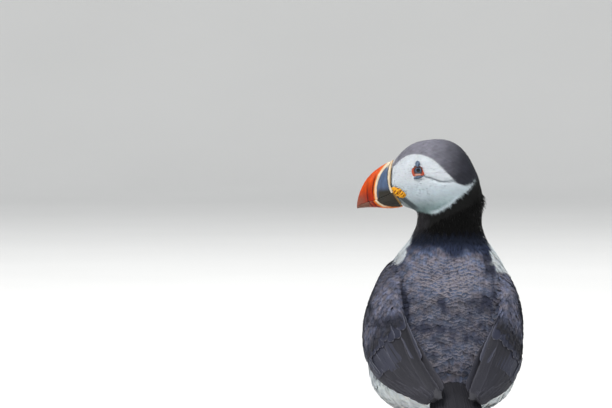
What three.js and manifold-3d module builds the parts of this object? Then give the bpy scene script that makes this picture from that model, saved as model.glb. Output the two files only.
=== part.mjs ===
// Atlantic puffin, life size, standing upright on both feet with its head turned to its left.
// Millimetres, +Z up, the bird's breast towards +Y. The origin is on the floor, below the outline's middle.

import * as THREE from "three";
import { mergeVertices } from "three/addons/utils/BufferGeometryUtils.js";
import Module from "manifold-3d";

// ---- driving dimensions ----
const GAP = 0.3; // clearance between pieces that meet
const HEAD_AT = new THREE.Vector3(-0.8, 5, 204); // middle of the braincase
const HEAD_TURN = 83.5; // degrees to the bird's left
const TRUNK_BOTTOM = 30;
const NECK_TOP = 206; // ends inside the head
const COLLAR_AT = new THREE.Vector3(5, 4, 153.5); // where neck and trunk part
const COLLAR_TILT = 5; // degrees, lower at the breast
const EYE_RADIUS = 4.5;
const EYE_AT = { side: 13.6, ahead: 16.1, up: 6 };
const CERE_RADIUS = 16.8; // front edge of the pale ridge round the bill's base, seen from the side
const CERE_CENTRE = { ahead: 21, up: 0.6 };
const CERE_STRETCH = 1.25; // the edge is taller than it is round
const WING_SPLIT = 0.66; // share of the folded wing where its coverts end and the primaries show
const BACK_EDGE = { at: new THREE.Vector3(0, -5, 165), tilt: 17.6 }; // the dark back ends at this plane
const TAIL = { root: [0, -46, 72], tip: [0, -88, 38], rootHalf: 17, tipHalf: 21, thick: 3 };
// Leg: distance from the middle, then [ahead, height] of the ankle and the toe joint. The foot stands a
// little further out than the ankle, and the shank swells towards both joints.
const LEG = { side: 21, ankle: [-30, 33], toes: [-20, 2.5], radius: 2.7, splay: 1, swell: 0.25 };
const THIGH = { radii: [9.6, 9.8, 17], at: [-21.5, 42], tilt: -41 };
const TOE_OUT = 6; // degrees that each foot points outwards
const WEB_THICK = 1.3;
const WEB_EDGE = 0.92; // how far out the web's free edge reaches between two toe tips
// Each toe: the angle from straight ahead (outwards positive), its length and its radius at the root.
const TOES = [
  { name: "inner", angle: -25, length: 27, radius: 2.3 },
  { name: "middle", angle: -1, length: 34, radius: 2.7 },
  { name: "outer", angle: 23, length: 31, radius: 2.4 },
];
const CLAW = { length: 7.5, radius: 1.5, arch: 0.5 };
const HEEL = { radii: [3.5, 4.2, 3.5], back: 1, up: 2.4 }; // the toe joint under the shank
// Small pieces of the right side of the head, an ellipsoid each: radii, middle and turns in degrees.
const BROW_PLATE = { radii: [2.6, 2.1, 3.7], at: [16, 16.4, 9.6], turn: [0, -22, 0] };
const LID_PLATE = { radii: [2.6, 4.4, 1.5], at: [16.9, 15.4, 1.1], turn: [-12, 0, 12] };
const ROSETTE = { radii: [3.2, 6.4, 3.4], at: [10.9, 29.9, -9.8], turn: [35, 0, 24] };
const LID_BREADTH = 1.2; // the plates by the eye start this far outside the eyeball
const RIDGE_RISE = 0.7; // how far the pale ridge stands out from the bill

// ---- colours ----
const paint = (color, roughness = 0.7) =>
  new THREE.MeshStandardMaterial({ color, roughness, metalness: 0 });
const MATERIALS = {
  black: paint(0x25262e),
  white: paint(0xe6ebee),
  face: paint(0xcfd6d8),
  red: paint(0xd8481a, 0.4),
  cere: paint(0xdccb9f, 0.5),
  yellow: paint(0xe2930f, 0.6),
  plate: paint(0x586a80, 0.5),
  eye: paint(0x160e0c, 0.1),
  leg: paint(0xe8601c, 0.5),
  claw: paint(0x1c1a1a, 0.4),
};

// ---- general tools ----
const wasm = await Module();
wasm.setup();
const TURN = 2 * Math.PI;
const SLIVER = 0.1;
const radians = THREE.MathUtils.degToRad;
const lerp = THREE.MathUtils.lerp;
const signedPower = (value, power) => Math.sign(value) * Math.abs(value) ** power;
// 0 at an end of a form, rising along a quarter ellipse to 1 at a distance `reach` from it.
const roundEnd = (distance, reach) =>
  Math.sqrt(Math.max(0, 1 - (1 - Math.min(1, Math.max(0, distance) / reach)) ** 2));

// A smooth curve through the rows of a table: its first column is the key, the rest are values.
function table(rows) {
  const width = rows[0].length - 1;
  const curve = new THREE.CubicInterpolant(
    rows.map((row) => row[0]),
    rows.flatMap((row) => row.slice(1)),
    width,
    new Float32Array(width),
  );
  return (key) => Array.from(curve.evaluate(key));
}

// A closed form made by laying a sphere's rings along a path. at(t, angle) gives the point at the share t
// of the path and an angle round it; the first and last rings close to a point.
function ringForm(at, around, along) {
  const geometry = new THREE.SphereGeometry(1, around, along);
  const position = geometry.attributes.position;
  for (let i = 0; i < position.count; i++) {
    const row = Math.floor(i / (around + 1));
    const column = i % (around + 1);
    const point = at(row / along, ((column % around) / around) * TURN);
    position.setXYZ(i, point.x, point.y, point.z);
  }
  return geometry;
}

// A closed geometry as a solid, with its faces pointing out.
function solid(geometry) {
  const bare = geometry.clone();
  bare.deleteAttribute("normal");
  bare.deleteAttribute("uv");
  const merged = mergeVertices(bare, 1e-4);
  const corners = merged.attributes.position.array;
  const order = new Uint32Array(merged.index.array).filter((_, i, all) => {
    const [a, b, c] = all.slice(i - (i % 3), i - (i % 3) + 3);
    return a !== b && b !== c && a !== c;
  });
  const make = () =>
    new wasm.Manifold(new wasm.Mesh({ numProp: 3, vertProperties: corners, triVerts: order }));
  const made = make();
  if (made.volume() >= 0) return made;
  for (let i = 0; i < order.length; i += 3) [order[i], order[i + 1]] = [order[i + 1], order[i]];
  return make();
}

// A solid back as a mesh's geometry. Only its largest piece is kept, so that no crumb of a cut stays,
// and the slivers that cutting leaves are taken out.
function geometryOf(made) {
  const largest = made
    .simplify(SLIVER)
    .decompose()
    .reduce((a, b) => (a.volume() > b.volume() ? a : b));
  const { vertProperties, triVerts } = largest.getMesh();
  const geometry = new THREE.BufferGeometry();
  geometry.setAttribute("position", new THREE.BufferAttribute(vertProperties, 3));
  geometry.setIndex(new THREE.BufferAttribute(triVerts, 1));
  geometry.computeVertexNormals();
  return geometry;
}

const moved = (made, matrix) => made.transform(matrix.elements);

// An ellipsoid with its three radii along the matrix's axes.
function ellipsoid(radii, matrix, around = 10, along = 7) {
  const geometry = new THREE.SphereGeometry(1, around, along);
  geometry.scale(...radii);
  return solid(geometry.applyMatrix4(matrix));
}

const placed = (x, y, z, euler = new THREE.Euler()) =>
  new THREE.Matrix4().makeRotationFromEuler(euler).setPosition(x, y, z);

// Everything further than `from` along a place's own Z axis.
function beyond(place, from) {
  const size = 400;
  const box = new THREE.BoxGeometry(size, size, size);
  return solid(box.translate(0, 0, from + size / 2).applyMatrix4(place));
}

// ---- trunk and neck: level sections from the belly up into the head ----
// height, half width, back, breast, shift to the right
const bodyAt = table([
  [28, 46, -50, 27, -1],
  [45, 50, -56, 31, -1],
  [60, 52.5, -57, 36, -1],
  [80, 54.5, -53, 42.5, -1],
  [100, 54, -46, 46, 0],
  [120, 50.5, -38.5, 46, 2],
  [135, 44.2, -32, 42, 3.6],
  [145, 39.6, -27.2, 38.8, 4.6],
  [155, 31.8, -22.3, 34, 4.7],
  [165, 24.8, -18, 28.6, 5.6],
  [180, 23.6, -16, 26, 6.4],
  [192, 23.4, -14.5, 24, 7.2],
  [206, 20.5, -13, 22, 5],
]);

const BELLY = { middle: -9, round: 30 }; // the belly closes over this height towards this middle

function body(grow, around = 26, along = 22) {
  const low = TRUNK_BOTTOM - grow;
  return ringForm(
    (t, angle) => {
      const left = 1 - t;
      const z = lerp(low, NECK_TOP, left * lerp(1, Math.sin((left * Math.PI) / 2), 0.65));
      const [half, back, front, shift] = bodyAt(z);
      const belly = roundEnd(z - low, BELLY.round) * (t === 0 ? 0 : 1);
      const middle = lerp(BELLY.middle, (back + front) / 2, Math.min(1, (z - low) / BELLY.round));
      return new THREE.Vector3(
        shift + (half + grow) * belly * signedPower(Math.cos(angle), 0.94),
        middle + ((front - back) / 2 + grow) * belly * signedPower(Math.sin(angle), 0.94),
        z,
      );
    },
    around,
    along,
  );
}

// ---- head: upright sections from the nape to the bill, made facing +Y round its own middle ----
// ahead, crown, chin, half width
const headAt = table([
  [-29, 4, -13, 13.2],
  [-24, 10.8, -15.5, 16.8],
  [-18, 19.4, -17, 18.4],
  [-11, 25.4, -20.8, 19.3],
  [-3, 28.2, -25.8, 19.8],
  [6, 28.3, -27.6, 19.6],
  [14, 27.1, -25.3, 18.4],
  [20.5, 24.7, -22.2, 16.3],
  [26, 21, -20.8, 13.4],
  [29.5, 17.3, -17.4, 11.9],
  [32.5, 13.8, -12.6, 10.6],
  [34.5, 10.8, -9, 9.6],
  [36.5, 7.4, -5, 8],
]);
const NAPE_AT = -29;
const FACE_AT = 36.5;
const CHEEK_UP = -4; // height of the head's widest level

function head(grow, around = 24, along = 20) {
  return ringForm(
    (t, angle) => {
      const ahead = lerp(NAPE_AT - grow, FACE_AT + grow, (1 - Math.cos(Math.PI * t)) / 2);
      const [crown, chin, half] = headAt(Math.min(FACE_AT, Math.max(NAPE_AT, ahead)));
      const nape = roundEnd(ahead - NAPE_AT + grow, 9);
      const face = roundEnd(FACE_AT + grow - ahead, 2.5);
      const level = lerp((crown + chin) / 2, Math.min(CHEEK_UP, (crown + chin) / 2), nape);
      const rise = Math.sin(angle) > 0 ? crown - level : level - chin;
      return new THREE.Vector3(
        -(half + grow) * nape * face * signedPower(Math.cos(angle), 0.96),
        ahead,
        level + (rise + grow) * nape * face * signedPower(Math.sin(angle), 0.96),
      );
    },
    around,
    along,
  );
}

// ---- bill: upright sections from inside the head to the tip ----
// ahead, culmen, cutting edge, underside, half width
const billAt = table([
  [26, 14.4, -7.6, -20.2, 8.3],
  [33, 12.6, -9.9, -21.5, 7.7],
  [37.4, 11, -11.8, -21.6, 6.9],
  [42.5, 8.3, -14.1, -21.2, 5.8],
  [46.8, 5.2, -15.9, -20.9, 5],
  [51.1, 1.3, -16.8, -20.9, 4.2],
  [54.7, -3.8, -18.1, -21.1, 3.4],
  [57.4, -9.6, -19.2, -21.3, 2.6],
  [59, -14.8, -20.3, -21.5, 1.8],
  [59.8, -19.6, -21.3, -21.8, 1],
]);
const BILL_ROOT = 22.5;
const BILL_TIP = 59.8;

// Half of the bill: side is 1 for the upper one and -1 for the lower one.
function mandible(side, grow = 0, around = 16, along = 14) {
  return ringForm(
    (t, angle) => {
      const ahead = lerp(BILL_ROOT, BILL_TIP, Math.sin(t * 0.5 * Math.PI));
      const [culmen, edge, under, half] = billAt(ahead);
      const open = t === 0 || t === 1 ? 0 : 1;
      const depth = Math.max(0.25, side > 0 ? culmen - edge : edge - under) + grow;
      const arch = Math.max(0, Math.sin(angle));
      return new THREE.Vector3(
        (half + grow) * open * signedPower(Math.cos(angle), 1.15),
        ahead,
        edge + side * (GAP / 2 + depth * arch ** 0.85 * open),
      );
    },
    around,
    along,
  );
}

// The round region behind the front edge of the ridge at the bill's base, across the whole bill.
function cereRegion(grow) {
  const geometry = new THREE.CylinderGeometry(CERE_RADIUS + grow, CERE_RADIUS + grow, 60, 32);
  geometry.rotateZ(Math.PI / 2).scale(1, 1, CERE_STRETCH);
  return solid(geometry.translate(0, CERE_CENTRE.ahead, CERE_CENTRE.up));
}

// ---- wings: a flat ring laid along the folded wing, from the wrist over the flank to the tip ----
// share of the length, then the right wing's middle and the way out from the body there
const wingLine = table([
  [0, 38.8, 23, 136, 0.74, 0.45, 0.5],
  [0.18, 44.8, 8, 124.5, 0.95, 0.1, 0.3],
  [0.36, 50.5, -10, 109, 0.95, -0.29, 0.1],
  [0.56, 47.2, -31, 90, 0.82, -0.56, 0.06],
  [0.76, 31.5, -53, 68, 0.55, -0.76, 0.34],
  [1, 8, -82, 49, 0.2, -0.62, 0.76],
]);
// share of the length, half breadth, thickness over the body
const wingSize = table([
  [0, 12, 3.5],
  [0.1, 19.5, 5],
  [0.25, 26, 6],
  [0.45, 27.5, 5.6],
  [0.6, 23.5, 4.8],
  [0.75, 16, 4],
  [0.9, 8.8, 2.6],
  [1, 4.6, 1.4],
]);
const FLANK_RADIUS = 52; // the curve that the wing's breadth follows
const WING_ROOT_DEPTH = 8; // how far the wing's inner side starts below its middle
const SHOULDER_RISE = 2.5; // the left shoulder is held this much higher, the right one lower

const wingMiddle = (t) => new THREE.Vector3(...wingLine(t).slice(0, 3));
const wingAhead = (t) =>
  wingMiddle(Math.min(1, t + 0.02))
    .sub(wingMiddle(Math.max(0, t - 0.02)))
    .normalize();

// One folded wing, side 1 for the right and -1 for the left. It follows the body's lean.
function wing(side, around = 18, along = 17) {
  return solid(
    ringForm(
      (t, angle) => {
        const out = new THREE.Vector3(...wingLine(t).slice(3)).normalize();
        const across = new THREE.Vector3().crossVectors(out, wingAhead(t)).normalize();
        const [halfBreadth, thick] = wingSize(t);
        const close = roundEnd(t, 0.12) * roundEnd(1 - t, 0.16);
        const offset = Math.cos(angle) * halfBreadth * close;
        const bend = ((offset * offset) / (2 * FLANK_RADIUS)) * (1 - t * t);
        const under = Math.min(thick, lerp(WING_ROOT_DEPTH, 1, t));
        const depth = (Math.sin(angle) > 0 ? thick : under) * Math.max(0.3, close);
        const rise = close > 0 ? depth * signedPower(Math.sin(angle), 0.6) : 0;
        const point = wingMiddle(t)
          .addScaledVector(across, offset)
          .addScaledVector(out, rise - bend);
        point.x = side * point.x + bodyAt(point.z)[3];
        point.z -= side * SHOULDER_RISE * (1 - t) ** 2;
        return point;
      },
      around,
      along,
    ),
  );
}

// Where the primaries come out from under the coverts, with Z towards the tip.
const wingSplit = new THREE.Matrix4()
  .makeRotationFromQuaternion(
    new THREE.Quaternion().setFromUnitVectors(new THREE.Vector3(0, 0, 1), wingAhead(WING_SPLIT)),
  )
  .setPosition(wingMiddle(WING_SPLIT));

// ---- tail: a flat, slightly arched fan with a round end, made backwards from its root ----
const TAIL_ARCH = 45; // radius of the arch across the tail
const tailRoot = new THREE.Vector3(...TAIL.root);
const tailTip = new THREE.Vector3(...TAIL.tip);
const tailSlope = Math.atan2(tailRoot.z - tailTip.z, tailRoot.y - tailTip.y);
const tailPlace = placed(...tailRoot, new THREE.Euler(tailSlope, 0, 0));

function tail(grow = 0, around = 16, along = 11) {
  const length = tailRoot.distanceTo(tailTip);
  const form = ringForm(
    (t, angle) => {
      const close = roundEnd(t, 0.05) * roundEnd(1 - t, 0.34);
      const across = (lerp(TAIL.rootHalf, TAIL.tipHalf, t) + grow) * close * Math.cos(angle);
      const thick = lerp(TAIL.thick, 1, t) * Math.max(0.5, close) + 2 * grow;
      const rise = close > 0 ? (thick / 2) * signedPower(Math.sin(angle), 0.6) : 0;
      return new THREE.Vector3(across, -t * length, rise - (across * across) / (2 * TAIL_ARCH));
    },
    around,
    along,
  );
  return moved(solid(form), tailPlace);
}

// ---- legs ----
// A round bar from one point to another, with a radius for each share of its length.
function bar(from, to, radiusAt, around = 10, along = 7) {
  const start = new THREE.Vector3(...from);
  const end = new THREE.Vector3(...to);
  const ahead = end.clone().sub(start).normalize();
  const side = new THREE.Vector3(1, 0, 0);
  const up = new THREE.Vector3().crossVectors(side, ahead).normalize();
  side.crossVectors(ahead, up);
  return solid(
    ringForm(
      (t, angle) => {
        const share = (1 - Math.cos(Math.PI * t)) / 2;
        const radius = t === 0 || t === 1 ? 0 : radiusAt(share);
        return start
          .clone()
          .lerp(end, share)
          .addScaledVector(side, radius * Math.cos(angle))
          .addScaledVector(up, radius * Math.sin(angle));
      },
      around,
      along,
    ),
  );
}

const FLOOR = solid(new THREE.BoxGeometry(400, 400, 200).translate(0, 0, -100));
const toeEnd = ({ angle, length }) => {
  const a = radians(angle);
  return [Math.sin(a) * length, Math.cos(a) * length];
};

// A right foot round its toe joint: three toes and the web between them, flat underneath.
function foot() {
  const outline = new THREE.Shape();
  const ends = TOES.map(toeEnd);
  outline.moveTo(-3, -3);
  outline.lineTo(...ends[0]);
  for (const i of [1, 2]) {
    const between = (axis) => ((ends[i - 1][axis] + ends[i][axis]) / 2) * WEB_EDGE;
    outline.quadraticCurveTo(between(0), between(1), ...ends[i]);
  }
  outline.lineTo(3, -3);
  outline.closePath();
  const flat = { depth: WEB_THICK, bevelEnabled: false, curveSegments: 3 };
  const web = solid(new THREE.ExtrudeGeometry(outline, flat));
  const knuckles = (share) => 1 - 0.3 * share + 0.08 * Math.cos(share * 3 * TURN);
  const toes = TOES.map((toe) => {
    const [x, y] = toeEnd(toe);
    const height = (share) => toe.radius * lerp(0.75, 0.6, share);
    const thickness = (share) => toe.radius * knuckles(share);
    return bar([0, -HEEL.back, height(0)], [x, y, height(1)], thickness, 8, 7);
  });
  const joint = ellipsoid(HEEL.radii, placed(0, -HEEL.back, HEEL.up), 8, 6);
  return [...toes, joint].reduce((a, b) => a.add(b), web).subtract(FLOOR);
}

// A right claw at the end of a toe: a short cone that bends down to the floor.
function claw(toe) {
  const [x, y] = toeEnd(toe);
  const a = radians(toe.angle);
  return solid(
    ringForm(
      (t, angle) => {
        const reach = t * CLAW.length;
        const radius = t === 0 ? 0 : CLAW.radius * (1 - t ** 1.6);
        const wide = radius * Math.cos(angle);
        const high = radius * Math.sin(angle);
        const middle = CLAW.radius * (1 - 0.7 * t ** 2) + GAP + CLAW.arch * Math.sin(Math.PI * t);
        return new THREE.Vector3(
          x + Math.sin(a) * (reach + GAP) + Math.cos(a) * wide,
          y + Math.cos(a) * (reach + GAP) - Math.sin(a) * wide,
          middle + high,
        );
      },
      6,
      4,
    ),
  ).subtract(FLOOR);
}

// ---- assembly ----
const bird = new THREE.Group();
const SIDES = [
  { side: 1, name: "r" },
  { side: -1, name: "l" },
];

function addNode(name, made, material, parent = bird) {
  const mesh = new THREE.Mesh(geometryOf(made), MATERIALS[material]);
  mesh.name = name;
  parent.add(mesh);
}

// What is made for the right side, on the side that is wanted.
const onSide = (side, made) => (side > 0 ? made : made.mirror([1, 0, 0]));

const headPlace = placed(...HEAD_AT, new THREE.Euler(0, 0, radians(HEAD_TURN)));

// The feathered upper leg, where it shows below the belly.
function thigh(grow = 0) {
  const turn = new THREE.Euler(radians(THIGH.tilt), 0, 0);
  const at = placed(LEG.side, THIGH.at[0], THIGH.at[1], turn);
  return ellipsoid(THIGH.radii.map((radius) => radius + grow), at, 14, 8);
}

function addBody() {
  const collar = placed(...COLLAR_AT, new THREE.Euler(radians(-COLLAR_TILT), 0, 0));
  const behind = placed(...BACK_EDGE.at, new THREE.Euler(radians(90 - BACK_EDGE.tilt), 0, 0));
  const rear = (gap) => beyond(behind, gap).intersect(beyond(tailPlace, gap));
  const whole = solid(body(0)).subtract(moved(solid(head(GAP)), headPlace));
  const below = whole.subtract(beyond(collar, -GAP / 2)).subtract(tail(GAP));
  const trunk = below
    .subtract(rear(-GAP / 2))
    .subtract(onSide(1, thigh(GAP)))
    .subtract(onSide(-1, thigh(GAP)));
  addNode("neck", whole.intersect(beyond(collar, GAP / 2)), "black");
  addNode("back", below.intersect(rear(GAP / 2)), "black");
  addNode("trunk", trunk, "white");
  addNode("tail", tail(), "black");
}

function addWings() {
  const flank = solid(body(GAP));
  for (const { side, name } of SIDES) {
    const free = wing(side).subtract(flank);
    const past = (gap) => onSide(side, beyond(wingSplit, gap));
    addNode("wing_" + name, free.subtract(past(-GAP / 2)), "black");
    addNode("wing_tip_" + name, free.intersect(past(GAP / 2)), "black");
  }
}

function addLegs() {
  const turn = new THREE.Euler(0, 0, -radians(TOE_OUT));
  const footPlace = placed(LEG.side + LEG.splay, LEG.toes[0], 0, turn);
  const web = moved(foot(), footPlace);
  const clear = web.add(moved(web, placed(0, 0, GAP))).add(moved(web, placed(0, -GAP, GAP)));
  const ankle = [LEG.side, ...LEG.ankle];
  const knuckle = [LEG.side + LEG.splay, ...LEG.toes];
  const thickness = (share) => LEG.radius * (1 + LEG.swell * Math.cos(TURN * share) ** 2);
  const shank = (grow) => bar(ankle, knuckle, (share) => thickness(share) + grow);
  for (const { side, name } of SIDES) {
    addNode("thigh_" + name, onSide(side, thigh().subtract(shank(GAP))), "white");
    addNode("shank_" + name, onSide(side, shank(0).subtract(clear)), "leg");
    addNode("foot_" + name, onSide(side, web), "leg");
    for (const toe of TOES) {
      const nail = moved(claw(toe), footPlace).subtract(web);
      addNode(`claw_${toe.name}_${name}`, onSide(side, nail), "claw");
    }
  }
}

// One of the small pieces of the head, on the side that is wanted.
function headPiece({ radii, at, turn }, side) {
  const [x, y, z] = turn.map(radians);
  const place = placed(side * at[0], at[1], at[2], new THREE.Euler(x, side * y, side * z));
  return ellipsoid(radii, place, 9, 6);
}

function eyeball(side, grow) {
  const radius = EYE_RADIUS + grow;
  const place = placed(side * EYE_AT.side, EYE_AT.ahead, EYE_AT.up);
  return ellipsoid([radius, radius, radius], place, 14, 9);
}

function addHead() {
  const face = new THREE.Group();
  face.position.copy(HEAD_AT);
  face.rotation.z = radians(HEAD_TURN);
  bird.add(face);
  const skull = solid(head(0));
  const clearOfSkull = solid(head(GAP));
  const upper = solid(mandible(1)).subtract(cereRegion(GAP)).subtract(clearOfSkull);
  const lower = solid(mandible(-1)).subtract(clearOfSkull);
  const clearOfLower = solid(mandible(-1, GAP));
  const clearOfBill = solid(mandible(1, RIDGE_RISE + GAP)).add(clearOfLower);
  const ridge = solid(mandible(1, RIDGE_RISE))
    .intersect(cereRegion(0))
    .subtract(clearOfSkull)
    .subtract(clearOfLower);
  addNode("head", skull.subtract(eyeball(1, GAP)).subtract(eyeball(-1, GAP)), "face", face);
  addNode("bill_upper", upper, "red", face);
  addNode("bill_ridge", ridge, "cere", face);
  addNode("bill_lower", lower, "red", face);
  for (const { side, name } of SIDES) {
    const trimmed = (shape) =>
      headPiece(shape, side).subtract(clearOfSkull);
    addNode("eye_" + name, eyeball(side, 0), "eye", face);
    const lids = eyeball(side, LID_BREADTH);
    addNode("brow_plate_" + name, trimmed(BROW_PLATE).subtract(lids), "plate", face);
    addNode("lid_plate_" + name, trimmed(LID_PLATE).subtract(lids), "plate", face);
    addNode("gape_" + name, trimmed(ROSETTE).subtract(clearOfBill), "yellow", face);
  }
}

addBody();
addWings();
addLegs();
addHead();

// The origin goes below the middle of the outline, on the floor.
const outline = new THREE.Box3().setFromObject(bird);
const middle = outline.getCenter(new THREE.Vector3());
bird.position.set(-middle.x, -middle.y, -outline.min.z);
const puffin = new THREE.Group();
puffin.add(bird);

export default puffin;
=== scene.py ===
"""An Atlantic puffin at life size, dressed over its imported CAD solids.

Lengths are in millimetres inside the script and become metres where a mesh is made.
"""

import math

import bpy
import numpy as np
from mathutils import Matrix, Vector, kdtree
from mathutils.bvhtree import BVHTree


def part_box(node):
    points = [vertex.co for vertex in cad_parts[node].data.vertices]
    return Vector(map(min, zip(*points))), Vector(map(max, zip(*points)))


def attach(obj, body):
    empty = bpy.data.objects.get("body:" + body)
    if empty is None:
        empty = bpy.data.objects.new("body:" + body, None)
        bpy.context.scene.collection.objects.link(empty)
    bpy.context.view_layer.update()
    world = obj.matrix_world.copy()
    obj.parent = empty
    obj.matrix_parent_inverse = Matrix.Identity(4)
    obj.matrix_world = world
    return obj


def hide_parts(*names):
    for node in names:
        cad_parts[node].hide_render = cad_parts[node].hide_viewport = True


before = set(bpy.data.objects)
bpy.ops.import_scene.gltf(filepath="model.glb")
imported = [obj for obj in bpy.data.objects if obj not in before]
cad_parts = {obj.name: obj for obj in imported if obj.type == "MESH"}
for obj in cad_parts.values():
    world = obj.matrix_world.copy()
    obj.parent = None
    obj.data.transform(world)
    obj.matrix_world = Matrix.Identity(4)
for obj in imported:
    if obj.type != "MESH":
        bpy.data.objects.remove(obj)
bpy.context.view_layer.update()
MM = 0.001
rng = np.random.default_rng(11)
scene = bpy.context.scene


# ---------------------------------------------------------------- numbers and vectors
def unit(vectors):
    length = np.linalg.norm(vectors, axis=-1, keepdims=True)
    return vectors / np.maximum(length, 1e-9)


def smooth_step(low, high, value):
    """0 at low, 1 at high, with an easy slope between. low may be the larger."""
    share = np.clip((value - low) / (high - low), 0, 1)
    return share * share * (3 - 2 * share)


def mix(a, b, share):
    """a where share is 0 and b where it is 1, for single values or for rows of colours or vectors."""
    share = np.asarray(share, float)
    if np.ndim(a) or np.ndim(b):
        share = share[..., None]
    return a * (1 - share) + b * share


def rgb(red, green, blue):
    """A colour as it shows, 0 to 255, as linear values."""
    shown = np.array([red, green, blue], float) / 255
    return np.where(shown <= 0.04045, shown / 12.92, ((shown + 0.055) / 1.055) ** 2.4)


def wave_noise(points, size, seed, octaves=3):
    """Smooth noise from -1 to 1, by adding sine waves in seeded directions. size is its grain in mm."""
    waves = np.random.default_rng(seed)
    total = np.zeros(len(points))
    for octave in range(octaves):
        for _ in range(4):
            direction = waves.normal(size=3)
            direction *= 2 ** octave * 2 * math.pi / (size * np.linalg.norm(direction))
            total += np.sin(points @ direction + waves.uniform(0, 7)) / 2 ** octave
    return np.clip(total / 4, -1, 1)


# ---------------------------------------------------------------- frames taken from the CAD nodes
def corners(node):
    """The low and the high corner of a node's box, in mm."""
    low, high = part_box(node)
    return np.array(low) / MM, np.array(high) / MM


def centre(node):
    low, high = corners(node)
    return (low + high) / 2


class Place:
    """A turned frame: local x, y, z in mm along its three axes from its origin."""

    def __init__(self, origin, across, ahead):
        self.origin = np.asarray(origin, float)
        across = unit(np.asarray(across, float))
        up = unit(np.cross(across, ahead))
        self.axes = np.array([across, np.cross(up, across), up])

    def local(self, points):
        return (points - self.origin) @ self.axes.T

    def world(self, points):
        return np.asarray(points, float) @ self.axes + self.origin

    def turn(self, vectors):
        return np.asarray(vectors, float) @ self.axes


EYE_AHEAD = 16.1  # from the middle of the braincase to the eyes
EYE_UP = 6.0
EYE_RADIUS = 4.5
LID_OPEN = 2.8  # half the width of the opening between the lids


def head_place():
    """Side, ahead and up from the middle of the braincase."""
    left, right = centre("eye_l"), centre("eye_r")
    across = right - left
    ahead = np.cross([0, 0, 1], unit(across))
    origin = (left + right) / 2 - ahead * EYE_AHEAD - np.array([0, 0, EYE_UP])
    return Place(origin, across, ahead)


HEAD = head_place()
BILL_BASE = HEAD.world([0, 33, -4])
BACK_TOP = corners("back")[1]
NECK_MIDDLE = centre("neck")[:2]
TOWARD_THROAT = unit(np.array([-0.6, 0.8]))  # the head is turned to the left
WING_FROM = corners("wing_r")[1][1:] * [0.45, 1]  # back and up, where a folded wing's line starts
WING_LINE = corners("wing_tip_r")[0][1:] - WING_FROM
BACK_SLOPE = 0.317  # the dark back's edge goes this far back for each mm down
TAIL_LOW, TAIL_HIGH = corners("tail")


# ---------------------------------------------------------------- camera, floor and light
VIEW_AZIMUTH = -6.5  # degrees: the camera stands behind the bird, a little to its left
VIEW_ELEVATION = 2.0
VIEW_DISTANCE = 4000.0
VIEW_WIDTH = 440.6  # of the picture, at the bird
VIEW_OFFSET = (-96.5, -18.7)  # the picture's middle, across and up from the middle of the head
SENSOR = 36.0
FLOOR_REACH = 9600.0
WALL_FROM = 5600.0
WALL_HEIGHT = 3200.0


def add_camera():
    azimuth, elevation = math.radians(VIEW_AZIMUTH), math.radians(VIEW_ELEVATION)
    right = np.array([math.cos(azimuth), math.sin(azimuth), 0])
    level = np.array([-math.sin(azimuth), math.cos(azimuth), 0])
    ahead = level * math.cos(elevation) - np.array([0, 0, math.sin(elevation)])
    target = HEAD.origin + right * VIEW_OFFSET[0] + np.array([0, 0, VIEW_OFFSET[1]])
    data = bpy.data.cameras.new("camera")
    data.sensor_width = SENSOR
    data.lens = SENSOR * VIEW_DISTANCE / VIEW_WIDTH
    data.clip_end = 100
    camera = bpy.data.objects.new("camera", data)
    camera.location = Vector((target - ahead * VIEW_DISTANCE) * MM)
    camera.rotation_euler = Vector(ahead).to_track_quat("-Z", "Y").to_euler()
    scene.collection.objects.link(camera)
    scene.camera = camera


def add_lamp(name, place, size, power, colour):
    data = bpy.data.lights.new(name, "AREA")
    data.shape = "DISK"
    data.size = size
    data.energy = power
    data.color = colour
    lamp = bpy.data.objects.new(name, data)
    lamp.location = place
    target = Vector((0, 0, 0.12))
    lamp.rotation_euler = (target - Vector(place)).to_track_quat("-Z", "Y").to_euler()
    scene.collection.objects.link(lamp)


def add_light():
    add_lamp("key", (-1.7, -1.3, 3.6), 2.2, 150, (1.0, 0.985, 0.96))
    add_lamp("fill", (2.8, -1.8, 2.0), 2.4, 22, (0.92, 0.96, 1.0))
    add_lamp("back", (0.4, 2.8, 2.9), 2.4, 46, (0.97, 0.98, 1.0))
    world = bpy.data.worlds.new("studio")
    world.use_nodes = True
    world.node_tree.nodes["Background"].inputs["Color"].default_value = (0.93, 0.96, 1.0, 1)
    world.node_tree.nodes["Background"].inputs["Strength"].default_value = 0.66
    scene.world = world
    scene.view_settings.view_transform = "Standard"


# ---------------------------------------------------------------- meshes
def new_piece(name, points, faces, smooth=True):
    """A mesh object from points in mm and faces that all have the same number of corners."""
    faces = np.asarray(faces, np.int32)
    mesh = bpy.data.meshes.new(name)
    mesh.vertices.add(len(points))
    mesh.vertices.foreach_set("co", (np.asarray(points) * MM).astype(np.float32).ravel())
    mesh.loops.add(faces.size)
    mesh.loops.foreach_set("vertex_index", faces.ravel())
    mesh.polygons.add(len(faces))
    starts = np.arange(0, faces.size, faces.shape[1], dtype=np.int32)
    mesh.polygons.foreach_set("loop_start", starts)
    mesh.polygons.foreach_set("use_smooth", np.full(len(faces), smooth))
    mesh.update(calc_edges=True)
    piece = bpy.data.objects.new(name, mesh)
    scene.collection.objects.link(piece)
    return piece


def write_colour(piece, name, colours):
    """Colours per point: red, green, blue and a fourth value for the material."""
    layer = piece.data.attributes.new(name, "FLOAT_COLOR", "POINT")
    layer.data.foreach_set("color", np.asarray(colours, np.float32).ravel())


def write_vector(piece, name, vectors):
    layer = piece.data.attributes.new(name, "FLOAT_VECTOR", "POINT")
    layer.data.foreach_set("vector", np.asarray(vectors, np.float32).ravel())


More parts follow.
